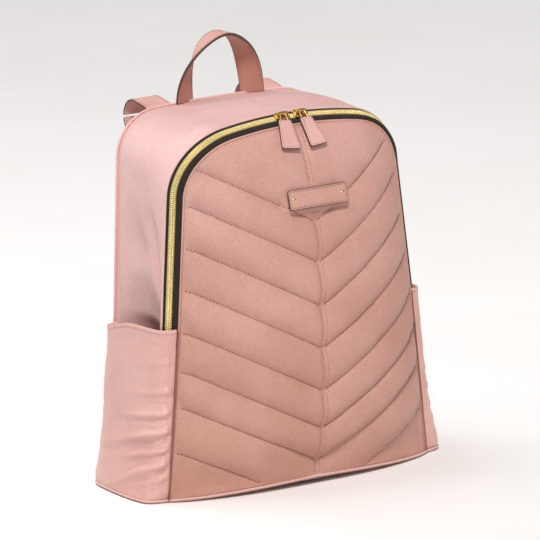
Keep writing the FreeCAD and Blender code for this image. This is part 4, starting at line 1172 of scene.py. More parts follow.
def add_seam_piping(side, label):
    """Cord on the front seam beside a pocket."""
    z = np.linspace(2.5, POCKET_TOP + 8.8, 92)
    path = np.stack([side * (seam_x(z) + 0.5), seam_y(z) - 0.2, z], 1)
    path[:, 0] += side * 0.25 * vnoise(z / 15, side, 0)
    attach(cord("seam_piping_" + label, path, 0.85, PIPING), "bag", "piping",
           *(("front_seam_piping",) if side < 0 else ()))


for side, label in SIDES:
    add_pocket(side, label)
for side, label in SIDES:
    add_seam_piping(side, label)

# ------------------------------------------------------------------ padded back
VALLEY_X, LUMBAR_Z = 52.0, 88.0
STITCH_PITCH = 4.1


def back_surface():
    """Cushions parted by two upright valleys and a level one."""
    stations = arch(BACK_OUTLINE, 2.0, step=2.0)
    x, z = fill_outline(stations, 150, 190)
    edge = np.min(np.hypot(x[..., None] - stations[None, None, ::4, 0],
                           z[..., None] - stations[None, None, ::4, 1]), -1)
    valley = np.minimum(np.abs(np.abs(x) - VALLEY_X),
                        np.abs(z - LUMBAR_Z) + 400 * (np.abs(x) > 150))
    y = (BACK_Y + 1.1 - 4.2 * np.exp(-(valley / 9.0) ** 1.4)
         - 2.4 * np.exp(-(edge / 8.0) ** 1.2))
    y = y + 0.7 * vnoise(x / 40, z / 48, 4.4)
    y = y + 0.35 * vnoise(x / 8, z / 30, 8.4) * np.exp(-valley / 12)
    y = y - 1.4 * sstep(345, 352, z)
    return np.stack([x * back_flare(z), np.minimum(y, BACK_Y + 1.4), z], -1)


def back_stitches(name, x, z, along):
    """Stitches laid on the padded back at x, z."""
    grid = back_points.reshape(-1, 3)
    centres = []
    for place_x, place_z in zip(x, z):
        k = np.argmin((grid[:, 0] - place_x) ** 2 + (grid[:, 2] - place_z) ** 2)
        centres.append((place_x, grid[k, 1] + 0.25, place_z))
    attach(stitches(name, centres, along, Y_AXIS, radius=0.36), "bag", "back_leather")


back_points = back_surface()
attach(thick_sheet("padded_back", back_points, 2.0, BACK_LEATHER, -Y_AXIS),
       "bag", "back_leather", "back_panel", "back_foam")
z = np.arange(14, 344, STITCH_PITCH)
x = VALLEY_X * back_flare(z)
back_stitches("back_valley_stitches", np.r_[-x, x], np.r_[z, z], (0, 0, 1.0))
x = np.arange(-140, 141, STITCH_PITCH)
back_stitches("back_lumbar_stitches", x, np.full_like(x, LUMBAR_Z), (1.0, 0, 0))

x, z = fill_outline(arch(BACK_OUTLINE, 4.0, step=6.0), 40, 50)
lining = np.stack([x * 0.975, 72.9 + 0.3 * vnoise(x / 20, z / 20, 0), 4 + (z - 4) * 0.985], -1)
attach(thick_sheet("back_inner_lining", lining, 0.8, LINING, -Y_AXIS),
       "bag", "lining", "back_lining")

x, z, normal_x, normal_z, _ = arch(BACK_OUTLINE, 2.5, step=3.0).T
path = np.stack([x * back_flare(z) + normal_x * 0.9, np.full(len(x), BACK_Y - 1.0),
                 z + normal_z * 0.9], 1)
attach(cord("back_edge_piping", path, 1.5, SIDE_LEATHER), "bag", "piping", "back_piping")

# ------------------------------------------------------------------ base
BASE_CENTRE = np.array([0.0, 5.0])
# Rings of the base, under side first: (scale, z)
BASE_RINGS = [
    (1.0, 3.4), (1.004, 2.2), (0.998, 1.0), (0.985, 0.35), (0.95, 0.1), (0.8, 0.0), (0.5, 0.0),
    (0.2, 0.0), (0.2, 2.0), (0.5, 2.0), (0.8, 2.1), (0.95, 2.3), (0.99, 3.2)]
LAST_UNDER = 7


def base_outline():
    x = np.linspace(-SEAM_HALF_W, SEAM_HALF_W, 80)
    front = np.stack([x, front_y(x, np.full_like(x, 0.5)) + 0.6], 1)
    right = spline(np.vstack([front[-1], pocket_plan(2.0)[1:]]), 50)[1:]
    right[:, 1] = np.minimum(right[:, 1], BACK_Y - 1.5)
    right[:, 0] -= 2.0
    back = np.stack([np.linspace(right[-1, 0], -right[-1, 0], 60), np.full(60, BACK_Y - 1.0)], 1)
    return np.vstack([front, right, back[1:-1], right[::-1] * [-1, 1]])


def base_rise(points):
    """The base lifts under the middle of the front."""
    return (7.0 * np.clip(1 - np.abs(points[:, 0]) / 164.0, 0, 1) ** 0.8
            * sstep(-40, -96, points[:, 1]))


def base_mesh(outline):
    rings = []
    for scale, z in BASE_RINGS:
        ring = BASE_CENTRE + (outline - BASE_CENTRE) * scale
        rings.append(np.column_stack([ring, z + base_rise(ring)]))
    count, around = len(rings), len(outline)
    faces = []
    for i in range(count):
        if i == LAST_UNDER:
            continue
        here, above = i * around, (i + 1) % count * around
        for j in range(around):
            after = (j + 1) % around
            faces.append((here + j, here + after, above + after, above + j))
    # Fans close the under side and the upper side.
    under, upper = LAST_UNDER * around, (LAST_UNDER + 1) * around
    for j in range(around):
        after = (j + 1) % around
        faces.append((under + j, under + after, count * around))
        faces.append((upper + after, upper + j, count * around + 1))
    centres = [[*BASE_CENTRE, 0.0], [*BASE_CENTRE, 2.0]]
    return make_mesh("base", np.vstack(rings + [centres]), faces, [BACK_LEATHER])


outline = base_outline()
attach(base_mesh(outline), "bag", "back_leather", "base_panel")
loop = closed(np.column_stack([outline * [1.002, 1], 3.0 + base_rise(outline)]))
attach(cord("base_piping", resample(loop, step=3.0), 1.15, SIDE_LEATHER), "bag", "piping")

# Rings of the stiffener board in its cloth: (scale, z)
BOARD_RINGS = [(0.02, 2.7), (0.6, 2.7), (0.985, 2.7), (1.0, 3.2), (1.0, 5.0), (0.985, 5.6),
               (0.7, 5.8), (0.3, 5.9), (0.02, 5.9)]


def base_board():
    low, high = [np.array(corner)[:2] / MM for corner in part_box("base_board")]
    angle = np.linspace(0, 2 * math.pi, 161)[:-1]
    circle = np.stack([np.cos(angle), np.sin(angle)], 1)
    outline = ((high - low) / 2 - 1) * np.sign(circle) * np.abs(circle) ** 0.35
    rings = [np.column_stack([(high + low) / 2 + outline * scale, np.full(len(outline), z)])
             for scale, z in BOARD_RINGS]
    return tube("base_board_cover", rings, [BOARD_CLOTH])


attach(base_board(), "bag", "board", "base_board")

# ------------------------------------------------------------------ organiser inside
ORGANISER_HALF_W = 112
# Section of the elastic round the organiser's top: (z, distance back)
ELASTIC_PROFILE = [(174.5, -0.2), (174.5, -1.0), (180, -1.3), (185.2, -1.0), (186.2, 0.0),
                   (185.2, 1.2), (180, 1.5), (174.5, 1.2), (174.5, 0.4)]


def organiser_surface():
    x, z = np.meshgrid(np.linspace(-ORGANISER_HALF_W, ORGANISER_HALF_W, 60),
                       np.linspace(12, 176, 40))
    share = (x + ORGANISER_HALF_W) / (2 * ORGANISER_HALF_W)
    y = BACK_Y - 10.6 - 12.0 * np.sin(np.pi * np.clip(share, 0.001, 0.999)) ** 0.4
    # Two upright dividing seams, then loose wrinkles
    y = y + 5.0 * np.exp(-((np.abs(x) - 38) / 4.0) ** 2) + 0.5 * vnoise(x / 14, z / 22, 0)
    return np.stack([x, y, z], -1)


def organiser_binding(top):
    rows = []
    for z, back in ELASTIC_PROFILE:
        row = top.copy()
        gather = 1 if 175 < z < 186 else 0.3
        row[:, 1] += back + 0.35 * np.sin(row[:, 0] * 1.1) * gather
        row[:, 2] = z
        rows.append(row)
    grid = np.array(rows)
    count, cols = grid.shape[:2]
    ends = [tuple(k * cols for k in range(count)),
            tuple(k * cols + cols - 1 for k in range(count))[::-1]]
    return make_mesh("organiser_binding", grid.reshape(-1, 3),
                     [*grid_faces(count, cols, wrap=True), *ends], [ELASTIC])


cloth = organiser_surface()
attach(thick_sheet("organiser_cloth", cloth, 0.8, LINING, Y_AXIS),
       "bag", "lining", "organiser_pocket")
attach(organiser_binding(cloth[-1]), "bag", "elastic", "organiser_elastic")

# ------------------------------------------------------------------ name patch, blank
PATCH_HALF_W, PATCH_HALF_H, PATCH_CORNER_R = 37.0, 11.0, 3.6
# From back to front: (inset, y, painted)
PATCH_PROFILE = [
    (0.6, 0.9, 1), (0.15, 0.62, 1), (0.0, 0.1, 1), (0.0, -0.5, 1), (0.25, -0.85, 1),
    (0.8, -0.98, 1), (1.7, -1.02, 0), (2.0, -0.82, 0), (2.5, -0.80, 0), (2.8, -1.0, 0),
    (3.4, -1.08, 0), (5.0, -1.16, 0), (7.5, -1.22, 0)]

# The patch takes its centre and its lean from the CAD piece.
cad_points = np.array([v.co for v in NODES["name_patch"].data.vertices]) / MM
patch_centre = cad_points.mean(0)
top_y = cad_points[cad_points[:, 2] > np.percentile(cad_points[:, 2], 90)][:, 1].mean()
bottom_y = cad_points[cad_points[:, 2] < np.percentile(cad_points[:, 2], 10)][:, 1].mean()
lean = math.asin(np.clip((top_y - bottom_y) / 20.0, -0.9, 0.9))
patch_up = np.array([0, math.sin(lean), math.cos(lean)])
patch_in = np.array([0, math.cos(lean), -math.sin(lean)])


def rounded_rectangle(half_width, half_height, radius, steps=12):
    points = []
    x, z = half_width - radius, half_height - radius
    for centre_x, centre_z, start in ((x, z, 0), (-x, z, 90), (-x, -z, 180), (x, -z, 270)):
        for k in range(steps + 1):
            angle = math.radians(start + 90 * k / steps)
            points.append((centre_x + radius * math.cos(angle),
                           centre_z + radius * math.sin(angle)))
    return np.array(points)


def on_patch(flat, y):
    """Places flat (x, z) points on the patch, bowed so that it follows the bag."""
    points = (patch_centre + np.outer(flat[:, 0], (1.0, 0, 0)) + np.outer(flat[:, 1], patch_up)
              + patch_in * y)
    bow = ((points[:, 0] - patch_centre[0]) / PATCH_HALF_W) ** 2 * 0.9
    return points + np.outer(bow, patch_in)


rings = [on_patch(rounded_rectangle(PATCH_HALF_W - inset, PATCH_HALF_H - inset,
                                    max(0.6, PATCH_CORNER_R - inset * 0.8)), y)
         for inset, y, _ in PATCH_PROFILE]
attach(plate("name_patch_leather", rings, [row[2] for row in PATCH_PROFILE], PATCH_LEATHER,
             start_slot=1), "flap", "patch_leather", "name_patch")
border = closed(rounded_rectangle(PATCH_HALF_W - 2.25, PATCH_HALF_H - 2.25, 1.8, steps=8))
centres = on_patch(spaced(border, 1, 1, 2.9, border)[0], -0.9)
attach(stitches("patch_stitches", centres, np.gradient(centres, axis=0), -patch_in, length=2.0,
                radius=0.26), "flap", "patch_leather")

# ------------------------------------------------------------------ zip pulls
COIL_HEIGHT = 2.4
PULL_LIFT = COIL_HEIGHT + 4.85          # pull's hinge out of the band
PULL_SPACING = 11.5                     # each hinge from the centre, along the arch
PULL_ANGLE = math.radians(40.0)
PULL_TOP = -8.4                         # leather tab's top below the hinge
PULL_ORIGIN = np.array([0, ARCH_Y + ALONG_Y * CHAIN + OUT_Y * PULL_LIFT,
                        ARCH_TOP + ALONG_N * CHAIN + OUT_N * PULL_LIFT])
PULL_UP = np.array([0, math.sin(PULL_ANGLE), math.cos(PULL_ANGLE)])
PULL_ACROSS = np.array([1.0, 0, 0])
PULL_THROUGH = np.cross(PULL_UP, PULL_ACROSS)
ARCH_CENTRE_Z = ARCH_TOP - ARCH_R
TAB_HEIGHT = 35.5
# Tab outline: narrow shoulders, wider square foot with rounded corners: (x, z)
TAB_OUTLINE = [
    (-6.0, 0.0), (6.0, 0.0), (7.2, -0.8), (7.9, -2.4), (11.1, -32.4), (10.9, -34.0),
    (9.9, -35.2), (8.2, -35.5), (-8.2, -35.5), (-9.9, -35.2), (-10.9, -34.0), (-11.1, -32.4),
    (-7.9, -2.4), (-7.2, -0.8)]
# Through the tab: (inset, y, painted)
TAB_PROFILE = [
    (3.2, 1.3, 0), (2.1, 1.24, 0), (1.1, 1.18, 0),
    (0.55, 1.05, 1), (0.12, 0.7, 1), (0, 0, 1), (0.12, -0.7, 1), (0.55, -1.05, 1),
    (1.1, -1.22, 0), (2.1, -1.3, 0), (3.2, -1.34, 0)]

tab_outline = resample(closed(np.array(TAB_OUTLINE)), step=1.1)[:-1]
tangent = np.gradient(np.vstack([tab_outline[-1:], tab_outline, tab_outline[:1]]), axis=0)[1:-1]
tab_normals = unit(np.stack([-tangent[:, 1], tangent[:, 0]], 1))


def round_arch(points, degrees):
    """Turns points about the centre of the arch's top run."""
    angle = math.radians(degrees)
    turned = np.array(points, float)
    x, z = turned[..., 0].copy(), turned[..., 2] - ARCH_CENTRE_Z
    turned[..., 0] = x * math.cos(angle) + z * math.sin(angle)
    turned[..., 2] = ARCH_CENTRE_Z - x * math.sin(angle) + z * math.cos(angle)
    return turned


def place_tab(flat, y, tilt, turn):
    """Flat tab points (x, z) at depth y, bent a little, hung from the hinge."""
    depth = y + 0.0010 * flat[:, 1] ** 2
    x, z = flat[:, 0], flat[:, 1] + PULL_TOP
    across = x * math.cos(tilt) + z * math.sin(tilt)
    up = -x * math.sin(tilt) + z * math.cos(tilt)
    points = (PULL_ORIGIN + np.outer(across, PULL_ACROSS) + np.outer(depth, PULL_THROUGH)
              + np.outer(up, PULL_UP))
    return round_arch(points, turn)


def inset_tab(inset):
    """Outline moved in, kept from crossing itself at the corners."""
    flat = tab_outline - tab_normals * inset
    half_width = 7.7 + 3.4 * np.clip((-flat[:, 1] - 1.0) / 31.4, 0, 1)
    flat[:, 0] = np.clip(flat[:, 0], inset - half_width, half_width - inset)
    flat[:, 1] = np.clip(flat[:, 1], -TAB_HEIGHT + inset, -inset)
    return flat


def add_pull(side, label, tilt):
    turn = side * math.degrees(PULL_SPACING / ARCH_R)
    rings = [place_tab(inset_tab(inset), y, tilt, turn) for inset, y, _ in TAB_PROFILE]
    attach(plate("pull_leather_" + label, rings, [row[2] for row in TAB_PROFILE],
                 STRAP_LEATHER), "pull_" + label, "strap_leather", "pull_tab_" + label)
    flat = tab_outline - tab_normals * 1.9
    flat[:, 0] = np.clip(flat[:, 0], -9.2, 9.2)
    flat[:, 1] = np.clip(flat[:, 1], -33.6, -1.9)
    flat = resample(closed(flat), step=2.9)
    through = unit(round_arch(PULL_THROUGH * 10 + PULL_ORIGIN, turn)
                   - round_arch(PULL_ORIGIN, turn))
    faces = [place_tab(flat, y, tilt, turn) for y in (-1.36, 1.34)]
    along = [np.gradient(face, axis=0) for face in faces]
    outward = [np.tile(through * sign, (len(flat), 1)) for sign in (-1, 1)]
    attach(stitches("pull_stitches_" + label, np.vstack(faces), np.vstack(along),
                    np.vstack(outward), length=1.9, radius=0.24),
           "pull_" + label, "strap_leather")


for (side, label), tilt in zip(SIDES, (10.0, -7.0)):
    add_pull(side, label, math.radians(tilt))

# ------------------------------------------------------------------ carry handle
HANDLE_Y, HANDLE_Z, HANDLE_HALF_SPAN, HANDLE_HEIGHT = 77.0, 400.5, 43.0, 72.0
HANDLE_WIDTH, HANDLE_THICK, HANDLE_STATIONS = 27.0, 2.9, 130


def handle_path():
    """Path of the loop and the direction across it, which twists towards the top."""
    angle = np.linspace(0, math.pi, 120)
    rise = np.sin(angle)
    path = np.stack([-HANDLE_HALF_SPAN * np.cos(angle) * (1 - 0.10 * rise),
                     HANDLE_Y - 11.0 * rise * rise,
                     HANDLE_Z + HANDLE_HEIGHT * np.power(np.maximum(rise, 0), 0.86)], 1)
    from_foot = np.minimum(angle, math.pi - angle)
    twist = np.radians(20 + 70.0 * np.sin(from_foot) ** 1.3)
    twist = np.where(angle > math.pi / 2, math.pi - twist, twist)
    distance = path_distance(path)
    twist = np.interp(np.linspace(0, distance[-1], HANDLE_STATIONS), distance, twist)
    across = np.stack([np.cos(twist), np.sin(twist), 0 * twist], 1)
    return resample(path, count=HANDLE_STATIONS), across


# The handle's under face is painted shade: the darker copy of the strap leather.
handle, strap_frame = ribbon("carry_loop", *handle_path(), HANDLE_WIDTH, HANDLE_THICK,
                             [STRAP_LEATHER, PAINTED_EDGE, STRAP_PAINTED_SHADE], painted_shade_back=True)
for piece in (handle, strap_stitches("carry_loop_stitches", strap_frame, margin=8)):
    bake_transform(piece)
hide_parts("carry_handle")

# ------------------------------------------------------------------ back yoke
YOKE_CENTRE, YOKE_HALF_SIZE = np.array([0.0, 371.0]), np.array([112.0, 20.0])
YOKE_OUTLINE = [(-104, 352), (104, 352), (112, 366), (104, 384), (84, 391.5), (-84, 391.5),
                (-104, 384), (-112, 366)]                       # (x, z)
# From the bag outwards: (inset, distance behind the back, painted)
YOKE_PROFILE = [(6, 0.2, 0), (0.3, 0.2, 1), (0.0, 0.9, 1), (0.35, 1.6, 0), (1.2, 1.85, 0),
                (3.0, 1.9, 0), (6.0, 1.95, 0), (12.0, 1.95, 0)]

yoke_outline = resample(closed(np.array(YOKE_OUTLINE, float)), step=3.0)[:-1]


def inset_yoke(inset):
    return YOKE_CENTRE + (yoke_outline - YOKE_CENTRE) * (1 - inset / YOKE_HALF_SIZE)


def on_yoke(flat, out):
    return np.stack([flat[:, 0], np.full(len(flat), BACK_Y + out), flat[:, 1]], 1)


rings = [on_yoke(inset_yoke(inset), out) for inset, out, _ in YOKE_PROFILE]
attach(plate("yoke_leather", rings, [row[2] for row in YOKE_PROFILE], BACK_LEATHER),
       "bag", "back_leather", "back_yoke")
centres = on_yoke(resample(closed(inset_yoke(3.2)), step=STITCH_PITCH), 2.0)
attach(stitches("yoke_stitches", centres, np.gradient(centres, axis=0), Y_AXIS),
       "bag", "back_leather")

# ------------------------------------------------------------------ stroller loops
BAR_Y, BAR_Z, BAR_R = 113.0, 383.0, 19.0
LOOP_THICK, LOOP_WIDTH, LOOP_X = 2.6, 33.0, 71.0
LOOP_R = BAR_R + LOOP_THICK / 2
YOKE_FACE_Y = BACK_Y + 0.25 + 1.8
SNAP_Z = 337.0


def bar_arc(start, end, count):
    """Points (y, z) round the bar's place, angles in degrees."""
    angle = np.radians(np.linspace(start, end, count))
    return np.stack([BAR_Y + LOOP_R * np.cos(angle), BAR_Z + LOOP_R * np.sin(angle)], 1)


def upper_loop():
    """Over the bar's place, straight down to the yoke, then flat against it."""
    end = math.radians(100)
    arc = bar_arc(5, 100, 40)
    heading = np.array([-math.sin(end), math.cos(end)])
    run = (arc[-1, 0] - (YOKE_FACE_Y + 0.25 + LOOP_THICK / 2 + 3.0)) / -heading[0]
    corner = arc[-1] + heading * run
    straight = [arc[-1] + heading * run * k / 8 for k in range(1, 8)]
    y = YOKE_FACE_Y + 0.2 + LOOP_THICK / 2
    bend = spline([straight[-1], corner - [0.6, 0.9], (y, corner[1] - 5.5), (y, 385.0),
                   (y, 378.0), (y, 368.5)], 30)[1:]
    return np.vstack([arc, straight, bend])


def lower_tail():
    """Under the bar's place, back to the bag and down past the snap."""
    y = BACK_Y + 0.25 + 2.0 + 0.45 + LOOP_THICK / 2
    z = BAR_Z - LOOP_R
    tail = spline([(BAR_Y, z), (BAR_Y - 8, z), (y + 7.0, z), (y + 2.2, z - 1.6), (y, z - 6.5),
                   (y, z - 14.0), (y, SNAP_Z - 9.0)], 50)[1:]
    return np.vstack([bar_arc(-5, -90, 36), tail])


for side, label in SIDES:
    for kind, body, profile in (("loop", "bag", upper_loop()),
                                ("tail", "tail_" + label, lower_tail())):
        path = np.column_stack([np.full(len(profile), side * LOOP_X), profile])
        strap, strap_frame = ribbon("bar_" + kind + "_" + label, resample(path, step=1.6),
                                    (1, 0, 0), LOOP_WIDTH, LOOP_THICK - 0.3,
                                    [STRAP_LEATHER, PAINTED_EDGE])
        attach(strap, body, "strap_leather", "stroller_" + kind + "_" + label)
        attach(strap_stitches("bar_" + kind + "_stitches_" + label, strap_frame),
               body, "strap_leather")

# ------------------------------------------------------------------ shoulder straps
# Right strap from top to bottom: (x, y, z, half width)
STRAP_STATIONS = np.array([
    (28.0, 85.2, 376.0, 23.0), (28.0, 87.4, 350.0, 23.5), (28.5, 90.0, 330.0, 24.0),
    (30.0, 95.4, 308.0, 24.5), (36.0, 103.0, 280.0, 25.0), (46.0, 109.0, 250.0, 25.5),
    (58.0, 112.0, 220.0, 25.5), (71.0, 111.5, 190.0, 25.0), (82.0, 108.5, 165.0, 23.0),
    (90.5, 104.5, 145.0, 19.0), (96.0, 101.5, 132.0, 15.5)])
STRAP_COUNT = 150
PAD_SHRINK = 2.2                        # room left for the puffed padding
PAD_SIDE_POWER = 0.55                   # squareness of the pad's section

pad_path = spline(STRAP_STATIONS[:, :3], STRAP_COUNT)
pad_along = unit(np.gradient(pad_path, axis=0))
pad_normal = square_to(np.tile(Y_AXIS, (STRAP_COUNT, 1)), pad_along)
pad_across = np.cross(pad_along, pad_normal)
distance = path_distance(STRAP_STATIONS[:, :3])
pad_half_width = np.interp(np.linspace(0, distance[-1], STRAP_COUNT), distance,
                           STRAP_STATIONS[:, 3]) - PAD_SHRINK
share = np.linspace(0, 1, STRAP_COUNT)
pad_half_thick = ((4.5 - PAD_SHRINK * 0.55) * (0.62 + 0.38 * sstep(0, 0.10, share))
                  * (1 - 0.35 * sstep(0.93, 1.0, share)))


def pad_form(side, label):
    section = []
    for k in range(28):
        cos, sin = math.cos(2 * math.pi * k / 28), math.sin(2 * math.pi * k / 28)
        across = pad_half_width * np.sign(cos) * abs(cos) ** PAD_SIDE_POWER
        through = pad_half_thick * np.sign(sin) * abs(sin) ** 0.7
        section.append(pad_path + pad_across * across[:, None] + pad_normal * through[:, None])
    return tube("shoulder_pad_" + label, np.stack(section, 1) * [side, 1, 1], [STRAP_LEATHER])


def puff_cloth(obj, frames=20, limit=3.2):
    """Swells a closed form like stuffed fabric, by at most limit, then freezes it."""
    scene = bpy.context.scene
    bpy.context.view_layer.objects.active = obj
    for other in bpy.context.selected_objects:
        other.select_set(False)
    obj.select_set(True)
    remesh = obj.modifiers.new("remesh", "REMESH")
    remesh.mode = "VOXEL"
    remesh.voxel_size = 0.0045
    bpy.ops.object.modifier_apply(modifier="remesh")
    rest = np.array([v.co for v in obj.data.vertices])
    cloth = obj.modifiers.new("cloth", "CLOTH")
    settings = cloth.settings
    settings.quality = 6
    settings.mass = 0.3
    settings.tension_stiffness = 22
    settings.compression_stiffness = 12
    settings.shear_stiffness = 8
    settings.bending_stiffness = 0.8
    settings.use_pressure = True
    settings.uniform_pressure_force = 4.0
    settings.effector_weights.gravity = 0.0
    cloth.collision_settings.use_self_collision = False
    for i in range(1, frames + 1):
        scene.frame_set(i)
    evaluated = obj.evaluated_get(bpy.context.evaluated_depsgraph_get())
    swollen = np.array([v.co for v in evaluated.data.vertices])
    obj.modifiers.remove(cloth)
    scene.frame_set(1)
    move = swollen - rest
    length = np.linalg.norm(move, axis=1)[:, None]
    move = np.where(length > limit * MM, move / np.maximum(length, 1e-9) * limit * MM, move)
    obj.data.vertices.foreach_set("co", (rest + move).astype(np.float32).ravel())
    smooth = obj.modifiers.new("sub", "SUBSURF")
    smooth.levels = smooth.render_levels = 1
    bpy.ops.object.modifier_apply(modifier="sub")
    obj.data.polygons.foreach_set("use_smooth", np.full(len(obj.data.polygons), True))
    obj.data.update()


def pad_binding(side, label):
    """Cord down one edge of the pad, round its lower end and up the other."""
    out = pad_half_width + 0.6
    right = pad_path + pad_across * out[:, None]
    left = pad_path - pad_across * out[:, None]
    end = [pad_path[-1] + pad_across[-1] * out[-1] * math.cos(angle)
           + pad_along[-1] * 1.6 * math.sin(angle) for angle in np.linspace(0, math.pi, 9)[1:-1]]
    loop = np.vstack([right, end, left[::-1]]) * [side, 1, 1]
    return cord("strap_binding_" + label, resample(loop, step=2.5), 1.7, STRAP_LEATHER)


def pad_stitches(side, label):
    """Rows inside both edges on both faces."""
    mirror = [side, 1, 1]
    path, along, across = pad_path * mirror, pad_along * mirror, pad_across * mirror
    row = pad_half_width - 3.0
    depth = pad_half_thick * (1 - (row / pad_half_width) ** (2 / PAD_SIDE_POWER)) ** 0.35 + 0.9
    parts = []
    for edge in (-1, 1):
        for face in (1, -1):
            line = path + across * (edge * row)[:, None] + pad_normal * (face * depth)[:, None]
            parts.append(spaced(path, 8, 6, 4.1, line, along, pad_normal * face))
    centres, directions, outward = [np.vstack(part) for part in zip(*parts)]
    return stitches("strap_stitches_" + label, centres, directions, outward, radius=0.4)


for side, label in SIDES:
    pad = pad_form(side, label)
    puff_cloth(pad)
    attach(pad, "bag", "strap_leather", "shoulder_strap_" + label, "strap_foam_" + label)
    attach(pad_binding(side, label), "bag", "strap_leather")
    attach(pad_stitches(side, label), "bag", "strap_leather")

# ------------------------------------------------------------------ webbing and ring tabs
# Laid out for the right side and mirrored for the left.
RING_AXIS = unit(np.array([-0.9407, 0.0, -0.3392]))
RING_CENTRE = np.array([131.0, BACK_Y + 4.9, 33.0])
RING_WIRE_R = 1.5
WEB_END = np.array([96.4, 101.2, 130.6])        # where the webbing leaves the pad
WEB_UP = square_to(WEB_END - RING_CENTRE, RING_AXIS)
ROD = RING_CENTRE + WEB_UP * 11.0               # ring's upper rod
WEB_OUT = np.cross(-WEB_UP, RING_AXIS)          # away from the bag
WEB_LENGTH = np.linalg.norm(WEB_END - ROD)
WEB_OFFSET = RING_WIRE_R + 0.3 + 0.75
DOUBLED = 12.0                                  # sewn overlap above the rod


def webbing_path():
    """From inside the pad, down on the bag side of the rod, round it and back up."""
    points = [ROD + WEB_UP * (WEB_LENGTH + 9) - WEB_OUT * WEB_OFFSET]
    points += [ROD + WEB_UP * up - WEB_OUT * WEB_OFFSET
               for up in np.linspace(WEB_LENGTH, 0.5, 30)]
    points += [ROD - (WEB_UP * math.sin(angle) + WEB_OUT * math.cos(angle)) * WEB_OFFSET
               for angle in np.linspace(0.1, math.pi - 0.1, 14)]
    points += [ROD + WEB_UP * up + WEB_OUT * (WEB_OFFSET - 0.5 * (up / DOUBLED))
               for up in np.linspace(0.5, DOUBLED, 6)]
    return resample(points, step=1.5)


def return_path():
    """The doubled length from the ring back up to the adjuster."""
    points = [ROD + WEB_UP * up + WEB_OUT * (WEB_OFFSET - 0.5 - 1.2 * sstep(DOUBLED, 60, up))
              for up in np.linspace(DOUBLED, WEB_LENGTH - 29.0, 24)]
    return resample(points, step=1.5)


TAB_DOWN = np.array([-RING_AXIS[2], 0, RING_AXIS[0]])
TAB_FOOT = RING_CENTRE * [1, 0, 1]
TAB_LOOP_R = RING_WIRE_R + 0.25 + 0.8


def on_tab(down, y):
    return TAB_FOOT + TAB_DOWN * down + Y_AXIS * y


def ring_tab_path():
    """Up the bag's back, round the ring's lower rod and down again over itself."""
    points = [on_tab(down, BACK_Y + 1.2) for down in np.linspace(22, 6, 10)]
    points += [on_tab(3.2, BACK_Y + 1.9)]
    points += [on_tab(-TAB_LOOP_R * math.sin(angle),
                      RING_CENTRE[1] - TAB_LOOP_R * math.cos(angle))
               for angle in np.linspace(-0.1, math.pi, 14)]
    points += [on_tab(down, BACK_Y + out)
               for down, out in ((4.0, 6.2), (8.0, 3.6), (12, 2.9), (22, 2.7))]
    return resample(spline(points, 80), step=1.2)


def ring_tab_stitches(name, mirror):
    """A box of stitches: two level rows, then its two sides."""
    level = [(x, down) for down in (12.0, 19.5) for x in np.arange(-7.5, 8, 3.0)]
    upright = [(x, down) for x in (-7.5, 7.5) for down in np.arange(12, 20, 2.5)]
    centres = [on_tab(down, BACK_Y + 3.6) + RING_AXIS * x for x, down in level + upright]
    along = [RING_AXIS] * len(level) + [TAB_DOWN] * len(upright)
    return stitches(name, np.array(centres) * mirror, np.array(along) * mirror, Y_AXIS,
                    length=2.2, radius=0.32)


for side, label in SIDES:
    mirror = np.array([side, 1, 1.0])
    across = RING_AXIS * mirror
    strap, _ = ribbon("webbing_" + label, webbing_path() * mirror, across, 25.0, 1.4,
                      [WEBBING, WEBBING], crown=0.1)
    attach(strap, "bag", "webbing", "strap_webbing_" + label)
    strap, _ = ribbon("webbing_return_" + label, return_path() * mirror, across, 24.6, 1.3,
                      [WEBBING, WEBBING], crown=0.1)
    attach(strap, "bag", "webbing")
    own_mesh(strap)
    strap, _ = ribbon("ring_tab_" + label, ring_tab_path() * mirror, across, 20.5, 1.5,
                      [STRAP_LEATHER, PAINTED_EDGE])
    attach(strap, "bag", "strap_leather", "lower_tab_" + label)
    attach(ring_tab_stitches("ring_tab_stitches_" + label, mirror), "bag", "strap_leather")

# ------------------------------------------------------------------ metal parts kept from the CAD
for part in NODES.values():
    if part.hide_render:
        continue
    part.data.materials.clear()
    part.data.materials.append(GOLD)
    for polygon in part.data.polygons:
        polygon.use_smooth = True
    bevel = part.modifiers.new("bevel", "BEVEL")
    bevel.width = 0.00022
    bevel.segments = 2
    bevel.limit_method = "ANGLE"
    bevel.angle_limit = math.radians(35)
    weighted = part.modifiers.new("wn", "WEIGHTED_NORMAL")
    weighted.keep_sharp = True

# ------------------------------------------------------------------ stage, in metres
scene = bpy.context.scene


def add_floor(radius=30, sides=64):
    mesh = bpy.data.meshes.new("floor")
    rim = [(radius * math.cos(angle), radius * math.sin(angle), 0.0)
           for angle in np.linspace(0, 2 * math.pi, sides + 1)[:-1]]
    mesh.from_pydata(rim, [], [tuple(range(sides))])
    floor = bpy.data.objects.new("floor", mesh)
    scene.collection.objects.link(floor)
    m = Shader("pale_floor")
    color = m.ramp(m.noise(scale=3.0, detail=2.0),
                   [(0.3, srgb((243, 242, 240))), (0.7, srgb((247, 246, 245)))])
    mesh.materials.append(m.finish(Base_Color=color, Roughness=0.75))


def add_world(color, strength):
    world = bpy.data.worlds.new("studio")
    scene.world = world
    world.use_nodes = True
    background = world.node_tree.nodes["Background"]
    background.inputs[0].default_value = color
    background.inputs[1].default_value = strength


def add_sun(towards, energy, angle, color):
    sun = bpy.data.lights.new("key_sun", "SUN")
    sun.energy = energy
    sun.angle = angle
    sun.color = color
    obj = bpy.data.objects.new("key_sun", sun)
    obj.rotation_euler = Vector(towards).to_track_quat("Z", "Y").to_euler()
    scene.collection.objects.link(obj)


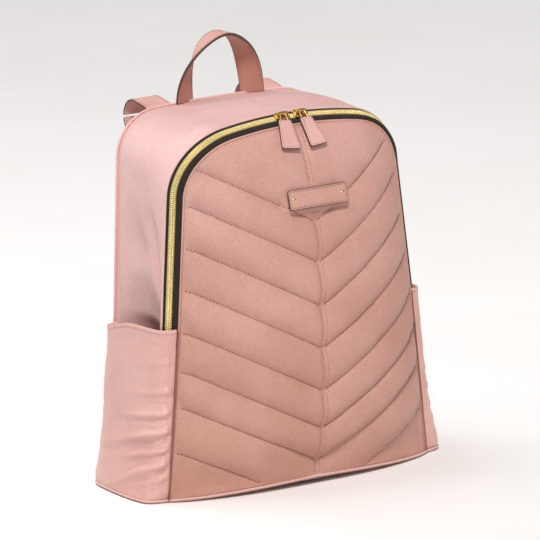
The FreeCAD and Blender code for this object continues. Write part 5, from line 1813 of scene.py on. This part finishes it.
def add_area(name, place, target, size, energy, color):
    light = bpy.data.lights.new(name, "AREA")
    light.shape = "RECTANGLE"
    light.size = light.size_y = size
    light.energy = energy
    light.color = color
    obj = bpy.data.objects.new(name, light)
    obj.location = place
    aim = Vector(target) - Vector(place)
    obj.rotation_euler = aim.to_track_quat("-Z", "Y").to_euler()
    scene.collection.objects.link(obj)


def add_camera(target, azimuth, elevation, roll, distance, lens, shift):
    """Camera at distance from target; azimuth is measured from the front, about z."""
    back = Vector((math.sin(azimuth) * math.cos(elevation),
                   -math.cos(azimuth) * math.cos(elevation), math.sin(elevation)))
    level_right = (-back).cross(Vector((0, 0, 1))).normalized()
    level_up = level_right.cross(-back)
    right = level_right * math.cos(roll) + level_up * math.sin(roll)
    up = -level_right * math.sin(roll) + level_up * math.cos(roll)
    camera = bpy.data.cameras.new("camera")
    camera.lens_unit = "MILLIMETERS"
    camera.sensor_width = 36.0
    camera.lens = lens
    camera.clip_end = 60.0
    camera.shift_x, camera.shift_y = shift
    obj = bpy.data.objects.new("camera", camera)
    pose = Matrix((right, up, back)).transposed().to_4x4()
    pose.translation = Vector(target) + back * distance
    obj.matrix_world = pose
    scene.collection.objects.link(obj)
    scene.camera = obj


add_floor()
add_world(color=(1.0, 0.985, 0.97, 1), strength=0.235)
add_sun(towards=(-0.34, -0.54, 0.77), energy=2.35, angle=math.radians(11),
        color=(1.0, 0.985, 0.98))
add_area("fill", place=(1.9, -1.3, 0.7), target=(0, 0, 0.2), size=1.2, energy=5,
         color=(1.0, 0.90, 0.80))
add_area("glint", place=(-0.9, -2.0, 1.5), target=(0, 0, 0.35), size=0.7, energy=5,
         color=(1.0, 0.99, 0.98))
add_area("top", place=(-0.5, 0.4, 2.1), target=(0, 0, 0.35), size=1.1, energy=14,
         color=(1.0, 0.985, 0.995))
add_area("back", place=(-0.8, 1.9, 1.2), target=(0, 0, 0.25), size=1.2, energy=9,
         color=(1.0, 0.98, 0.98))
scene.view_settings.view_transform = "Standard"
scene.view_settings.look = "None"
add_camera(target=(0, 0, 0.215), azimuth=math.radians(-31.4), elevation=math.radians(12.4),
           roll=math.radians(-2.35), distance=7.0, lens=431.484116,
           shift=(0.01336111, 0.00938889))
